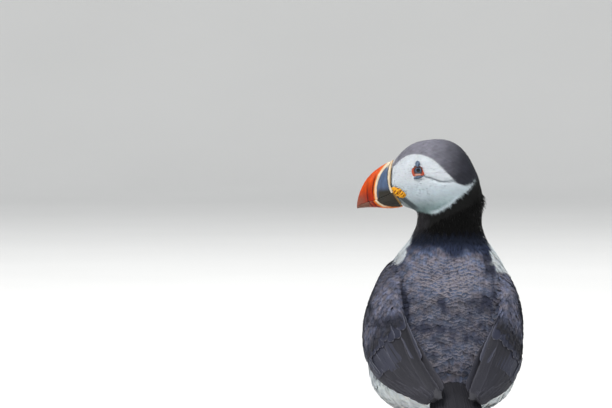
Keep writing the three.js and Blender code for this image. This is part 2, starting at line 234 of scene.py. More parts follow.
def write_map(piece, places):
    """The OFBake map, from one place per point."""
    corner = np.empty(len(piece.data.loops), np.int32)
    piece.data.loops.foreach_get("vertex_index", corner)
    layer = piece.data.uv_layers.new(name="OFBake")
    layer.data.foreach_set("uv", np.asarray(places, np.float32)[corner].ravel())


def ring_quads(rows, count, closed=False):
    """Quads between rows of points that run round in rings, count to a ring."""
    k = np.arange(count)
    after = (k + 1) % count
    low = (np.arange(rows if closed else rows - 1) * count)[:, None]
    high = (low + count) % (rows * count)
    return np.stack([low + k, low + after, high + after, high + k], axis=2).reshape(-1, 4)


def read_mesh(mesh):
    """A mesh's points in mm and its triangles."""
    points = np.empty(len(mesh.vertices) * 3, np.float32)
    mesh.vertices.foreach_get("co", points)
    mesh.calc_loop_triangles()
    faces = np.empty(len(mesh.loop_triangles) * 3, np.int32)
    mesh.loop_triangles.foreach_get("vertices", faces)
    return points.reshape(-1, 3).astype(float) / MM, faces.reshape(-1, 3)


def normals_of(points, faces):
    """The normal at each point, from the triangles that meet there."""
    a, b, c = (points[faces[:, k]] for k in range(3))
    across = np.cross(b - a, c - a)
    total = np.zeros_like(points)
    for axis in range(3):
        for corner in range(3):
            total[:, axis] += np.bincount(faces[:, corner], across[:, axis], len(points))
    return unit(total)


def pairs_of(faces):
    """Every pair of points joined by an edge, once."""
    sides = np.concatenate([faces[:, [0, 1]], faces[:, [1, 2]], faces[:, [2, 0]]])
    return np.unique(np.sort(sides, axis=1), axis=0)


def smoothed(points, faces, rounds):
    """Laplacian steps out and back, which smooth without shrinking."""
    pairs = pairs_of(faces)
    first, second = pairs.T
    count = np.bincount(pairs.ravel(), minlength=len(points))[:, None]
    for step in [0.5, -0.52] * rounds:
        total = np.empty_like(points)
        for axis in range(3):
            total[:, axis] = np.bincount(first, points[second, axis], len(points))
            total[:, axis] += np.bincount(second, points[first, axis], len(points))
        points = points + step * (total / count - points)
    return points


def largest_body(points, faces):
    """Drops the crumbs that a remesh can leave inside."""
    label = np.arange(len(points))
    first, second = pairs_of(faces).T
    while True:
        low = np.minimum(label[first], label[second])
        joined = label.copy()
        np.minimum.at(joined, first, low)
        np.minimum.at(joined, second, low)
        joined = joined[joined]
        if np.array_equal(joined, label):
            break
        label = joined
    kept = label == np.bincount(label).argmax()
    index = np.cumsum(kept) - 1
    return points[kept], index[faces[kept[faces[:, 0]]]]


def remeshed(nodes, voxel, rounds, grow=0.0):
    """CAD solids as one fine closed surface, each grown first so that they merge across their gaps."""
    import bmesh

    soup = bmesh.new()
    for node in nodes:
        soup.from_mesh(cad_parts[node].data)
    bmesh.ops.remove_doubles(soup, verts=soup.verts, dist=1e-6)
    soup.normal_update()
    for vertex in soup.verts:
        vertex.co += vertex.normal * (grow * MM)
    mesh = bpy.data.meshes.new("solids")
    soup.to_mesh(mesh)
    soup.free()
    holder = bpy.data.objects.new("solids", mesh)
    scene.collection.objects.link(holder)
    voxels = holder.modifiers.new("voxels", "REMESH")
    voxels.mode = "VOXEL"
    voxels.voxel_size = voxel * MM
    evaluated = holder.evaluated_get(bpy.context.evaluated_depsgraph_get())
    points, faces = read_mesh(evaluated.to_mesh())
    bpy.data.objects.remove(holder)
    points, faces = largest_body(points, faces)
    points = smoothed(points, faces, rounds)
    return points - normals_of(points, faces) * grow, faces


def tree_of(points, faces):
    return BVHTree.FromPolygons(points.tolist(), faces.tolist())


def nearest(tree, points):
    """The closest point of a surface to each point, its normal and how far it is."""
    found = [tree.find_nearest(Vector(point)) for point in points]
    places = np.array([hit[0] for hit in found])
    facing = np.array([hit[1] for hit in found])
    return places, facing, np.array([hit[3] for hit in found])


# ---------------------------------------------------------------- the skin
WINGS = {-1: ["wing_l", "wing_tip_l"], 1: ["wing_r", "wing_tip_r"]}
FLESH = ["head", "neck", "back", "trunk", "thigh_l", "thigh_r"] + WINGS[-1] + WINGS[1]
# distance from the bill's base in mm, then the coat's depth, its spacing, length and half width
COAT_SIZES = np.array([
    [0, 0.5, 0.75, 1.5, 0.36],
    [10, 0.7, 0.85, 2.1, 0.42],
    [30, 1.0, 1.0, 3.0, 0.55],
    [55, 1.5, 1.25, 4.2, 0.8],
    [75, 2.0, 1.6, 6.0, 1.15],
    [100, 2.6, 2.0, 8.0, 1.6],
    [140, 3.0, 2.3, 9.5, 2.0],
    [210, 3.0, 2.3, 10.5, 2.1],
])


def coat_sizes(points):
    """Depth, spacing, length and half width of the feathers at each point."""
    far = np.linalg.norm(points - BILL_BASE, axis=1)
    return [np.interp(far, COAT_SIZES[:, 0], COAT_SIZES[:, k]) for k in range(1, 5)]


def gap_to(points, names):
    """How far each point lies from the nearest of the named CAD nodes. Far ones count as 100."""
    result = np.full(len(points), 100.0)
    for name in names:
        low, high = corners(name)
        near = np.flatnonzero(((points > low - 5) & (points < high + 5)).all(1))
        solid, faces = read_mesh(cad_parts[name].data)
        result[near] = np.minimum(result[near], nearest(tree_of(solid, faces), points[near])[2])
    return result


def along_wing(points):
    """0 where a folded wing's line starts, 1 at its tip."""
    return (points[:, 1:] - WING_FROM) @ WING_LINE / (WING_LINE @ WING_LINE)


def from_path(flat, path):
    """How far each place seen from the side lies from a path, less than 0 on the path's right."""
    best = np.full(len(flat), 1e3)
    for start, end in zip(path, path[1:]):
        step = end - start
        share = np.clip((flat - start) @ step / (step @ step), 0, 1)
        gap = flat - start - share[:, None] * step
        side = np.sign(step[1] * gap[:, 0] - step[0] * gap[:, 1])
        far = np.linalg.norm(gap, axis=1)
        best = np.where(far < np.abs(best), far * -side, best)
    return best


# the furrow behind the eye: ahead and up from the middle of the braincase
FURROW = np.array([
    [12.2, 2.0], [7.2, 0.7], [2.2, -1.4], [-2.2, -2.2], [-7.2, -1.4], [-10.5, -1.9],
])


def furrow_distance(place):
    return np.where(np.abs(place[:, 0]) > 7, np.abs(from_path(place[:, 1:], FURROW)), 1e3)


SKIN_VOXEL = 1.5
MERGE = 0.3  # how far solids are grown so that they merge across their gaps


class Skin:
    """The bird's skin, with what the coat needs to know at each of its points."""

    def __init__(self):
        self.outer, self.faces = remeshed(FLESH + ["eye_l", "eye_r"], SKIN_VOXEL, 10, MERGE)
        self.facing = normals_of(self.outer, self.faces)
        self.wing = np.zeros(len(self.outer))
        to_body = gap_to(self.outer, ["trunk", "back", "neck"])
        for side, names in WINGS.items():
            to_wing = gap_to(self.outer, names)
            self.wing[(to_wing < 0.9) | (to_wing < np.minimum(to_body, 4))] = side
        to_thigh = gap_to(self.outer, ["thigh_l", "thigh_r"])
        self.thigh = ((to_thigh < 0.6) | (to_thigh < np.minimum(to_body, 4))).astype(float)
        press = 0.8 * np.exp(-((furrow_distance(HEAD.local(self.outer)) / 1.2) ** 2))
        self.outer = self.outer - self.facing * press[:, None]
        depth = np.minimum(coat_sizes(self.outer)[0], 0.3 * self.thickness())
        depth = depth * (1 - 0.6 * self.thigh)
        most = np.interp(along_wing(self.outer), [0.5, 0.8, 0.95], [3, 1.0, 0.4])
        depth = depth - np.abs(self.wing) * np.maximum(depth - most, 0)
        place = HEAD.local(self.outer)
        from_eye = np.linalg.norm(place[:, 1:] - [EYE_AHEAD, EYE_UP], axis=1)
        socket = smooth_step(LID_OPEN + 0.6, LID_OPEN - 0.8, from_eye) * (np.abs(place[:, 0]) > 8)
        self.points = self.outer - self.facing * (depth + 1.6 * socket)[:, None]
        self.normals = normals_of(self.points, self.faces)
        self.tree = tree_of(self.points, self.faces)
        self.outer_tree = tree_of(self.outer, self.faces)

    def thickness(self):
        """How far it is through the body near each point, up to 20 mm."""
        tree = tree_of(self.outer, self.faces)
        result = np.full(len(self.outer), 20.0)
        for index, (point, facing) in enumerate(zip(self.outer, self.facing)):
            hit = tree.ray_cast(Vector(point - facing * 0.05), Vector(-facing), 20.0)
            if hit[0] is not None:
                result[index] = hit[3]
        start, end = pairs_of(self.faces).T
        for _ in range(4):
            least = result.copy()
            np.minimum.at(least, start, result[end])
            np.minimum.at(least, end, result[start])
            result = least
        return result

    def at(self, values, faces, weights):
        """Values of the skin's points, read off inside its faces."""
        return np.einsum("ij,ij...->i...", weights, values[self.faces[faces]])


# ---------------------------------------------------------------- markings
# the edges of the pale face from the side: ahead and up from the middle of the braincase
CROWN_LINE = np.array([
    [-30, 0.5], [-25.2, -0.8], [-22, -3.7], [-18.7, -5.3], [-14.3, -4.3], [-11.1, -2.7], [-4.6, 4.3],
    [3.1, 12.0], [6.9, 14.6], [12.1, 16.8], [16.6, 17.5], [21.1, 17.2], [24.9, 15.9], [28.8, 13.3],
    [33.3, 8.9],
])
COLLAR_LINE = np.array([
    [-30, 3.0], [-27.2, 0.3], [-24.6, -2.9], [-19, -9.2], [-12.4, -14.2], [-6.3, -19.6], [-0.3, -23.2],
    [3.1, -24.8], [6.5, -25.4], [11.4, -24.6], [14.7, -24.0], [22, -25.0], [40, -27],
])
FACE, CHEEK, JAW_SHADED = rgb(219, 225, 231), rgb(204, 217, 225), rgb(120, 141, 142)
CROWN, CROWN_REAR_SHADED = rgb(138, 137, 149), rgb(44, 45, 53)
SMUDGE, CHIN, FURROW_SHADE = rgb(74, 81, 85), rgb(158, 166, 168), rgb(104, 114, 122)
COLLAR, THROAT, COLLAR_LOW = rgb(4, 4, 5), rgb(54, 53, 57), rgb(34, 40, 56)
MANTLE, MANTLE_DARK, MANTLE_BAND = rgb(106, 118, 148), rgb(42, 46, 66), rgb(52, 60, 84)
MANTLE_WORN = rgb(130, 125, 137)
WING, WING_DARK, WING_WORN = rgb(106, 113, 140), rgb(42, 45, 62), rgb(128, 124, 136)
WHITE, THIGH = rgb(237, 245, 252), rgb(216, 220, 225)
# darker and paler patches of the back: across, height, half their width and height, how pale
PATCHES = np.array([
    [-4, 116, 5.5, 7, -0.8], [28, 117, 9, 5.5, -0.8], [-31, 126, 2, 8, -0.6], [-29, 112, 2, 8, -0.6],
    [-39, 102, 9, 5, -0.9], [-9, 148, 8, 5, 0.6], [20, 145, 8, 6, 0.5], [34, 147, 5, 13, -1.0],
    [-44, 120, 7, 9, 0.3], [44, 127, 6, 8, 0.3], [8, 132, 10, 6, 0.25], [-56, 118, 6, 16, -0.6],
    [-14, 98, 12, 4, -0.5], [16, 92, 12, 5, -0.4], [-20, 135, 9, 6, 0.2], [56, 112, 5, 14, -0.5],
])
BARS = (1.5, 135, 27, 15)  # the barred part of the back: middle across and height, half sizes
PRIMARY, PRIMARY_EDGE, SECONDARY_EDGE = rgb(42, 42, 50), rgb(74, 74, 84), rgb(96, 98, 112)
SECONDARY, TAIL_BLACK, EDGE_PALE = rgb(50, 52, 66), rgb(36, 36, 42), rgb(176, 180, 190)


def head_marks(points):
    """Colours of the head and collar, and where they apply instead of the body's."""
    place = HEAD.local(points)
    place = place + 0.15 * np.stack([wave_noise(points, 3.5, seed) for seed in (1, 2, 3)], axis=1)
    ahead, up = place[:, 1], place[:, 2]
    # painted light and shade: the crown lightens toward its front and top, where the light from above
    # and ahead falls, and darkens toward the rear; this is only partly its own tone
    crown = mix(CROWN_REAR_SHADED, CROWN, smooth_step(-21, 14, ahead + 0.25 * (up - 15)))
    crown = crown * (1 + 0.16 * wave_noise(points, 9, 4) + 0.16 * wave_noise(points, 3, 13))[:, None]
    # partly painted shade: the face greys and darkens downward toward the collar and at its rear, as
    # under light from above; the lower cheek is also greyer of its own
    face = mix(CHEEK, FACE, smooth_step(-10, 2, up))
    face = mix(JAW_SHADED, face, smooth_step(-22, -8, up + 0.15 * ahead))
    face = mix(JAW_SHADED * 0.8, face, smooth_step(-29, -19, ahead))
    face = face * (1 + 0.05 * wave_noise(points, 9, 5))[:, None]
    face = mix(face, FURROW_SHADE, 0.8 * np.exp(-((furrow_distance(place) / 0.7) ** 2)))
    lean = (ahead - 27) * 0.62 - (up + 15) * 0.78
    reach = (27 - ahead) * 0.78 - (up + 15) * 0.62
    face = mix(face, CHIN, smooth_step(0.6, 1.6, lean) * smooth_step(17, 13, reach))
    smudge = smooth_step(-3.2, -1.6, lean) * smooth_step(1.5, 0.7, lean) * smooth_step(15, 10, reach)
    face = mix(face, SMUDGE, 0.92 * smudge * smooth_step(-6, -9, up))
    above = up - np.interp(ahead, CROWN_LINE[:, 0], CROWN_LINE[:, 1])
    below = np.interp(ahead, COLLAR_LINE[:, 0], COLLAR_LINE[:, 1]) - up
    rear_cheek = smooth_step(-3.2, -1.6, below) * smooth_step(14, 8, np.abs(ahead + 4))
    face = mix(face, CHEEK, 0.7 * rear_cheek)
    colour = mix(face, crown, smooth_step(-0.4, 0.5, above))
    # painted sheen: the black collar turns lighter on its throat side, where the light from the left
    # catches it
    round_neck = unit(points[:, :2] - NECK_MIDDLE) @ TOWARD_THROAT
    wear_and_sheen = smooth_step(-0.45, 0.75, round_neck + 0.25 * wave_noise(points, 8, 16))
    low = smooth_step(12, 1, points[:, 2] - BACK_TOP[2] + 2 * wave_noise(points, 5, 17))
    collar = mix(mix(COLLAR, THROAT, wear_and_sheen), COLLAR_LOW, low)
    return mix(colour, collar, smooth_step(-0.4, 0.5, below))


def back_share(points):
    """1 on the dark back, 0 on the white breast, flanks and belly."""
    ragged = 1.6 * wave_noise(points, 9, 6)
    edge = BACK_TOP[1] - (BACK_TOP[2] - points[:, 2]) * BACK_SLOPE
    across, height = points[:, 0], points[:, 2]
    right, left = smooth_step(5, 25, across), smooth_step(-5, -25, across)
    edge = edge - 4.5 * right * smooth_step(153, 143, height)
    edge = edge + 4 * right * smooth_step(151, 156, height)
    edge = edge + 14 * right * smooth_step(139, 134, height)
    edge = edge + left * (1.5 + 9 * smooth_step(144, 139, height) + 6 * smooth_step(149, 155, height))
    ahead = smooth_step(1.0, -1.0, points[:, 1] - edge + ragged)
    slope = (TAIL_HIGH[2] - TAIL_LOW[2]) / (TAIL_HIGH[1] - TAIL_LOW[1])
    over_tail = points[:, 2] - (TAIL_HIGH[2] + slope * (points[:, 1] - TAIL_HIGH[1]))
    return ahead * smooth_step(-11, -7, over_tail + ragged)


def patched(colour, dark, patches):
    """A colour where patchwork is 0, toward the dark one below that and paler above."""
    colour = mix(colour, dark, np.maximum(-patches, 0))
    return colour * (1 + 0.3 * np.maximum(patches, 0))[:, None]


def patchwork(points):
    """How much paler or darker each point of the back is than the rest, from 1 to -1."""
    stray = np.stack([wave_noise(points, 8, seed) for seed in (41, 42)], axis=1)
    place = points[:, [0, 2]] + 1.6 * stray
    away = (place[:, None] - PATCHES[None, :, :2]) / PATCHES[None, :, 2:4]
    blobs = np.exp(-np.sum(away ** 2, axis=2)) @ PATCHES[:, 4]
    uneven = 0.55 * wave_noise(points, 19, 7) + 0.45 * wave_noise(points, 8, 44)
    return np.clip(1.9 * blobs + uneven, -1, 1)


def in_bars(points):
    """1 in the middle of the back, where the feathers' ends, pale from wear, make bars."""
    away = (points[:, [0, 2]] - BARS[:2]) / BARS[2:]
    return smooth_step(1.25, 0.6, np.linalg.norm(away, axis=1) + 0.25 * wave_noise(points, 12, 43))


def markings(points, wing, thigh):
    """The coat at each point: red, green, blue, and how pale the feathers' fringes are."""
    down = BACK_TOP[2] - points[:, 2]
    patches = patchwork(points)
    # here the share is the feathers' own wear, which browns the mantle and wings in patches
    wear_and_sheen = smooth_step(-0.3, 0.6, wave_noise(points, 7, 14))
    grain = 0.96 + 0.45 * wave_noise(points, 4.5, 15) + 0.2 * wave_noise(points, 2.4, 18)
    # painted shade: the mantle darkens further down the back, where less of the light from above falls
    low = 0.95 - 0.16 * smooth_step(12, 22, down) - 0.34 * smooth_step(24, 42, down)
    mantle = mix(MANTLE, MANTLE_WORN, wear_and_sheen) * (grain * low)[:, None]
    mantle = patched(mantle, MANTLE_DARK, patches)
    dip = np.exp(-(((points[:, 0] - 7) / 6) ** 2))
    band = down - 3 * smooth_step(5, 30, points[:, 0]) - 7 * dip + 2.5 * wave_noise(points, 9, 8)
    mantle = mix(MANTLE_BAND, mantle, smooth_step(-2, 6, band))
    white = mix(WHITE, THIGH, 0.5 * thigh)
    dark = back_share(points)
    body = mix(white, mantle, dark)
    on_wing = np.abs(wing)
    coverts = patched(mix(WING, WING_WORN, wear_and_sheen) * grain[:, None], WING_DARK, patches)
    run = along_wing(points)
    coverts = mix(coverts, PRIMARY, smooth_step(0.4, 0.5, run))
    body = mix(body, coverts, on_wing)
    fringe = np.maximum(dark * smooth_step(1, 12, down), on_wing)
    fringe = fringe * (0.3 + 0.7 * in_bars(points) + 0.3 * wave_noise(points, 11, 10))
    fringe = fringe * (1 - 0.95 * np.maximum(-patches, 0))
    fringe = fringe * (1 - on_wing * smooth_step(0.28, 0.42, run))
    fringe = np.clip(fringe, 0, 1)
    throat = smooth_step(0.15, 0.85, unit(points[:, :2] - NECK_MIDDLE) @ TOWARD_THROAT)
    collar_edge = points[:, 2] - (BACK_TOP[2] + 0.6) - 9 * throat + 0.9 * wave_noise(points, 6, 11)
    soft = mix(2.8, 0.9, throat)
    on_collar = smooth_step(-soft, soft, collar_edge)
    colour = mix(body, head_marks(points), on_collar)
    return np.column_stack([colour, fringe * (1 - on_collar)])


# ---------------------------------------------------------------- the lie of the coat
HEAD_EDGE = -27  # the head's coat starts at this height, the neck's ends there


def head_height(place):
    """Height of a head place above a plane that slants down toward the bill."""
    return place[:, 2] + 0.55 * place[:, 1]


def along_surface(directions, normals):
    """Directions laid flat on the surface."""
    flat = directions - normals * np.sum(directions * normals, axis=1, keepdims=True)
    return unit(flat)


def lie_of_coat(points, normals, wing, thigh):
    """The way the feathers point: back over the head, down the body, and along each wing."""
    place = HEAD.local(points)
    droop = 0.15 + 0.75 * smooth_step(4, -26, place[:, 1]) + 0.35 * smooth_step(-6, -20, place[:, 2])
    on_head = np.stack([0 * droop, -np.ones_like(droop), -droop], axis=1)
    on_head = unit(HEAD.turn(on_head))
    behind = np.interp(points[:, 2], [30, 60, 110, 160], [1.1, 0.6, 0.3, 0.12])
    on_body = unit(np.stack([0 * behind, -behind, -np.ones_like(behind)], axis=1))
    share = smooth_step(HEAD_EDGE, -14, head_height(place))
    lie = mix(on_body, on_head, share)
    for side, name in ((-1, "wing_tip_l"), (1, "wing_tip_r")):
        tip = centre(name)
        start = corners(name.replace("_tip", ""))[1]
        line = unit(np.array([0, tip[1] - start[1] * 0.45, tip[2] - start[2] + 14]))
        lie[wing == side] = line
    lie = mix(lie, np.array([0, -0.25, -1.0]), 0.7 * thigh)
    return along_surface(lie, normals)


# ---------------------------------------------------------------- feathers
def scattered(points, spacing, order):
    """Indices of points that keep their spacing from each other, taken in the given order."""
    tree = kdtree.KDTree(len(points))
    for index, point in enumerate(points):
        tree.insert(point, index)
    tree.balance()
    free = np.ones(len(points), bool)
    kept = []
    for index in order:
        if free[index]:
            kept.append(index)
            near = [hit[1] for hit in tree.find_range(points[index], spacing[index])]
            free[near] = False
    return np.array(kept)


class Vane:
    """How one sort of feather is cut: strips of barbs side by side, each a ribbon of quads.

    rounding shortens the outer strips, ragged varies them, parting opens gaps between their tips.
    camber droops the edges, narrow is the root's share of the width, lean turns the normals outward.
    """

    def __init__(self, barbs, steps, rounding=0.3, ragged=0.1, parting=0.5, camber=0.25,
                 narrow=0.45, lean=0.35):
        cuts = np.random.default_rng(barbs * 10 + steps)
        self.camber, self.lean = camber, lean
        edge = np.linspace(-1, 1, barbs + 1)
        middle, half = (edge[1:] + edge[:-1]) / 2, 1 / barbs
        share = np.linspace(0, 1, steps + 1)
        shapes, shares = [], np.broadcast_to(share[None, :, None], (barbs, steps + 1, 2)).ravel()
        for _ in range(5):
            reach = 1 - rounding * middle ** 2 + ragged * cuts.uniform(-1, 1, barbs)
            along = share[None, :, None] * reach[:, None, None] * np.ones((1, 1, 2))
            width = narrow + (1 - narrow) * smooth_step(0, 0.55, along)
            thin = half * (1.12 - parting * share ** 2)[None, :, None] * np.array([-1, 1])
            sway = cuts.uniform(-0.3, 0.3, barbs)[:, None, None] * half * share[None, :, None] ** 2
            across = (middle[:, None, None] + sway + thin) * width
            shapes.append(np.stack([across.ravel(), along.ravel(), shares], axis=1))
        self.shapes = np.array(shapes)
        quads = []
        for barb in range(barbs):
            first = barb * (steps + 1) * 2
            for step in range(steps):
                low = first + step * 2
                quads.append([low, low + 1, low + 3, low + 2])
        self.quads = np.array(quads)


def map_places(places, across, along):
    """OFBake: each root on an equal-area unwrap of its region, its feather a small patch there."""
    low, high = places.min(0), places.max(0)
    toward = unit((places - (low + high) / 2) / np.maximum(high - low, 1))
    middle = unit(toward.mean(0) + 1e-3)
    side = unit(np.cross(middle, [0.3, 0.2, 0.93]))
    third = np.cross(middle, side)
    spread = np.sqrt(2 / np.maximum(1 + toward @ middle, 1e-3))
    flat = np.stack([toward @ side, toward @ third], axis=1) * spread[:, None]
    low, high = flat.min(0), flat.max(0)
    flat = 0.02 + 0.96 * (flat - low) / np.maximum(high - low, 1e-6)
    return flat[:, None, :] + 0.0015 * np.stack([across, 2 * along - 1], axis=2)


def add_feathers(name, vane, roots, tips, bend, normals, tip_normals, half_width, colour_at, draw):
    """One joined mesh of feathers, each on a curve from its root through its bend to its tip."""
    count = len(roots)
    shape = vane.shapes[draw.integers(0, len(vane.shapes), count)]
    across, along, share = (shape[..., k] for k in range(3))
    rest = 1 - along
    spine = (
        roots[:, None] * (rest ** 2)[..., None]
        + bend[:, None] * (2 * along * rest)[..., None]
        + tips[:, None] * (along ** 2)[..., None]
    )
    side = unit(np.cross(tips - roots, normals))
    out = unit(normals[:, None] * rest[..., None] + tip_normals[:, None] * along[..., None])
    points = spine + side[:, None] * (across * half_width[:, None])[..., None]
    points = points - out * (vane.camber * across ** 2 * half_width[:, None])[..., None]
    faces = vane.quads[None] + (np.arange(count) * shape.shape[1])[:, None, None]
    piece = new_piece(name, points.reshape(-1, 3), faces.reshape(-1, 4))
    seed = np.broadcast_to(draw.uniform(0, 1, count)[:, None], across.shape)
    write_colour(piece, "coat", colour_at(points).reshape(-1, 4))
    write_vector(piece, "shape", np.stack([across, share, seed], axis=2).reshape(-1, 3))
    write_map(piece, map_places(roots, across, along).reshape(-1, 2))
    lean = unit(out + vane.lean * side[:, None] * across[..., None])
    piece.data.normals_split_custom_set_from_vertices(lean.reshape(-1, 3).tolist())
    return piece


# ---------------------------------------------------------------- bare parts that the coat leaves free
# the bare ring's outer edge: degrees up from straight ahead, and the distance from the eye's middle
RING_EDGE = np.array([
    [-174, 3.4], [-160, 4.2], [-150, 5.0], [-140, 5.2], [-115, 4.2], [-90, 3.9], [-68, 4.3], [-51, 5.4],
    [-32, 4.9], [-5, 4.6], [25, 3.9], [66, 3.3], [102, 3.2], [131, 3.15], [174, 3.2],
])


def eye_ring_reach(angle):
    """The ring is a triangle with round corners, its point up."""
    return np.interp(np.degrees(angle), RING_EDGE[:, 0], RING_EDGE[:, 1], period=360)


BARE_NODES = ["bill_upper", "bill_lower", "bill_ridge"]
BARE_NODES += [name + letter for name in ("gape_", "brow_plate_", "lid_plate_") for letter in "lr"]


def is_bare(points, gap):
    """True where the bill, the gape, the eye or a plate by the eye lies within the gap."""
    place = HEAD.local(points)
    flat = place[:, 1:] - np.array([EYE_AHEAD, EYE_UP])
    far = np.linalg.norm(flat, axis=1)
    reach = eye_ring_reach(np.arctan2(flat[:, 1], flat[:, 0])) + gap
    bare = (far < reach) & (np.abs(place[:, 0]) > 8)
    for name in BARE_NODES:
        low, high = corners(name)
        close = np.flatnonzero(((points > low - 2) & (points < high + 2)).all(1) & ~bare)
        if len(close):
            solid, faces = read_mesh(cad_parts[name].data)
            place, facing, gaps = nearest(tree_of(solid, faces), points[close])
            inside = np.sum((points[close] - place) * facing, axis=1) < 0
            bare[close] |= inside | (gaps < gap)
    return bare


ROW = 2.2  # height between the rows of the back's and wings' broad feathers
NAPE_BAND = (182, 186, 193, 197)  # heights where the nape's ruffled feathers start and end


def ruffled(places, normals):
    """1 on the nape, which faces right, where the feathers stand out, 0 elsewhere."""
    low, above, below, high = NAPE_BAND
    band = smooth_step(low, above, places[:, 2]) * smooth_step(high, below, places[:, 2])
    return band * smooth_step(0.55, 0.85, normals[:, 0])


class Coat:
    """Feather roots over the whole skin, evenly spaced for their place, with all that they need."""

    def __init__(self, skin, draw):
        self.skin = skin
        a, b, c = (skin.outer[skin.faces[:, k]] for k in range(3))
        area = np.linalg.norm(np.cross(b - a, c - a), axis=1) / 2
        need = area / coat_sizes((a + b + c) / 3)[1] ** 2
        count = int(need.sum() * 5)
        faces = draw.choice(len(need), count, p=need / need.sum())
        weights = draw.dirichlet([1, 1, 1], count)
        places = skin.at(skin.outer, faces, weights)
        kept = scattered(places, coat_sizes(places)[1] * 0.93, draw.permutation(count))
        faces, weights = faces[kept], weights[kept]
        self.places = places[kept]
        self.roots = skin.at(skin.points, faces, weights)
        self.normals = unit(skin.at(skin.facing, faces, weights))
        self.wing = np.round(skin.at(skin.wing, faces, weights))
        self.thigh = skin.at(skin.thigh, faces, weights)
        self.lie = lie_of_coat(self.places, self.normals, self.wing, self.thigh)
        self.draw_into_rows()
        self.free = ~is_bare(self.places, 0.2)

    def draw_into_rows(self):
        """Draws the broad feathers of the back and wings toward wavy rows across the body."""
        below_collar = self.places[:, 2] < BACK_TOP[2] - 3
        broad = np.maximum(np.abs(self.wing), back_share(self.places)) * below_collar
        slope = np.where(self.wing == 0, 0.36, 0.0) * np.abs(self.places[:, 0] - BARS[0])
        height = self.places[:, 2] - slope + 2 * wave_noise(self.places, 30, 12)
        step = np.round(height / ROW) * ROW - height
        moved = self.places + np.outer(0.85 * broad * step, [0, 0, 1])
        moved = nearest(self.skin.outer_tree, moved)[0]
        self.roots += moved - self.places
        self.places = moved

    def dress(self, name, where, vane, draw, long=1.0, wide=1.0, lift=1.0, wild=0.12, tint=0.06,
              uneven=0.17):
        """The feathers of one region.

        long, wide and lift scale the size and the rise of the tips. wild is how far each strays from
        the lie of the rest, tint and uneven how much shades and lengths differ.
        """
        chosen = np.flatnonzero(where & self.free)
        places, normals, lie = self.places[chosen], self.normals[chosen], self.lie[chosen]
        depth, _, length, half = coat_sizes(places)
        length = length * long * draw.uniform(1 - uneven, 1 + uneven, len(chosen))
        half = half * wide * draw.uniform(0.85, 1.15, len(chosen))
        side = np.cross(normals, lie)
        stray = draw.normal(0, wild, len(chosen))[:, None]
        lie = unit(lie + side * stray)
        ends, end_normals, _ = nearest(self.skin.outer_tree, places + lie * length[:, None])
        rise = (0.04 + 0.14 * draw.uniform(0, 1, len(chosen))) * depth * lift
        rise = rise + 3.0 * draw.uniform(0.2, 1, len(chosen)) * ruffled(places, normals)
        ends = ends + end_normals * (rise - 0.12 * depth)[:, None]
        keep = ~is_bare(ends, 0.05)
        every = (chosen, places, normals, lie, ends, end_normals, depth, length, half)
        chosen, places, normals, lie, ends, end_normals, depth, length, half = (
            values[keep] for values in every
        )
        roots = self.roots[chosen] - normals * 0.15
        bend = places + lie * (0.38 * length)[:, None] - normals * (0.1 * depth)[:, None]
        middle = 0.35 * places + 0.65 * ends
        shade = 1 + tint * draw.normal(0, 1, (len(chosen), 1))
        shade = shade + 0.01 * draw.normal(0, 1, (len(chosen), 3))

        def colour_at(points):
            """Each corner's marking, read between its own place and its feather's middle."""
            corners_each = points.shape[1]
            read = (0.85 * points + 0.15 * middle[:, None]).reshape(-1, 3)
            wing, thigh = (np.repeat(part[chosen], corners_each) for part in (self.wing, self.thigh))
            colours = markings(read, wing, thigh).reshape(len(chosen), corners_each, 4)
            colours[..., :3] = np.clip(colours[..., :3] * shade[:, None], 0.004, 0.95)
            return colours

        return add_feathers(name, vane, roots, ends, bend, normals, end_normals, half, colour_at, draw)


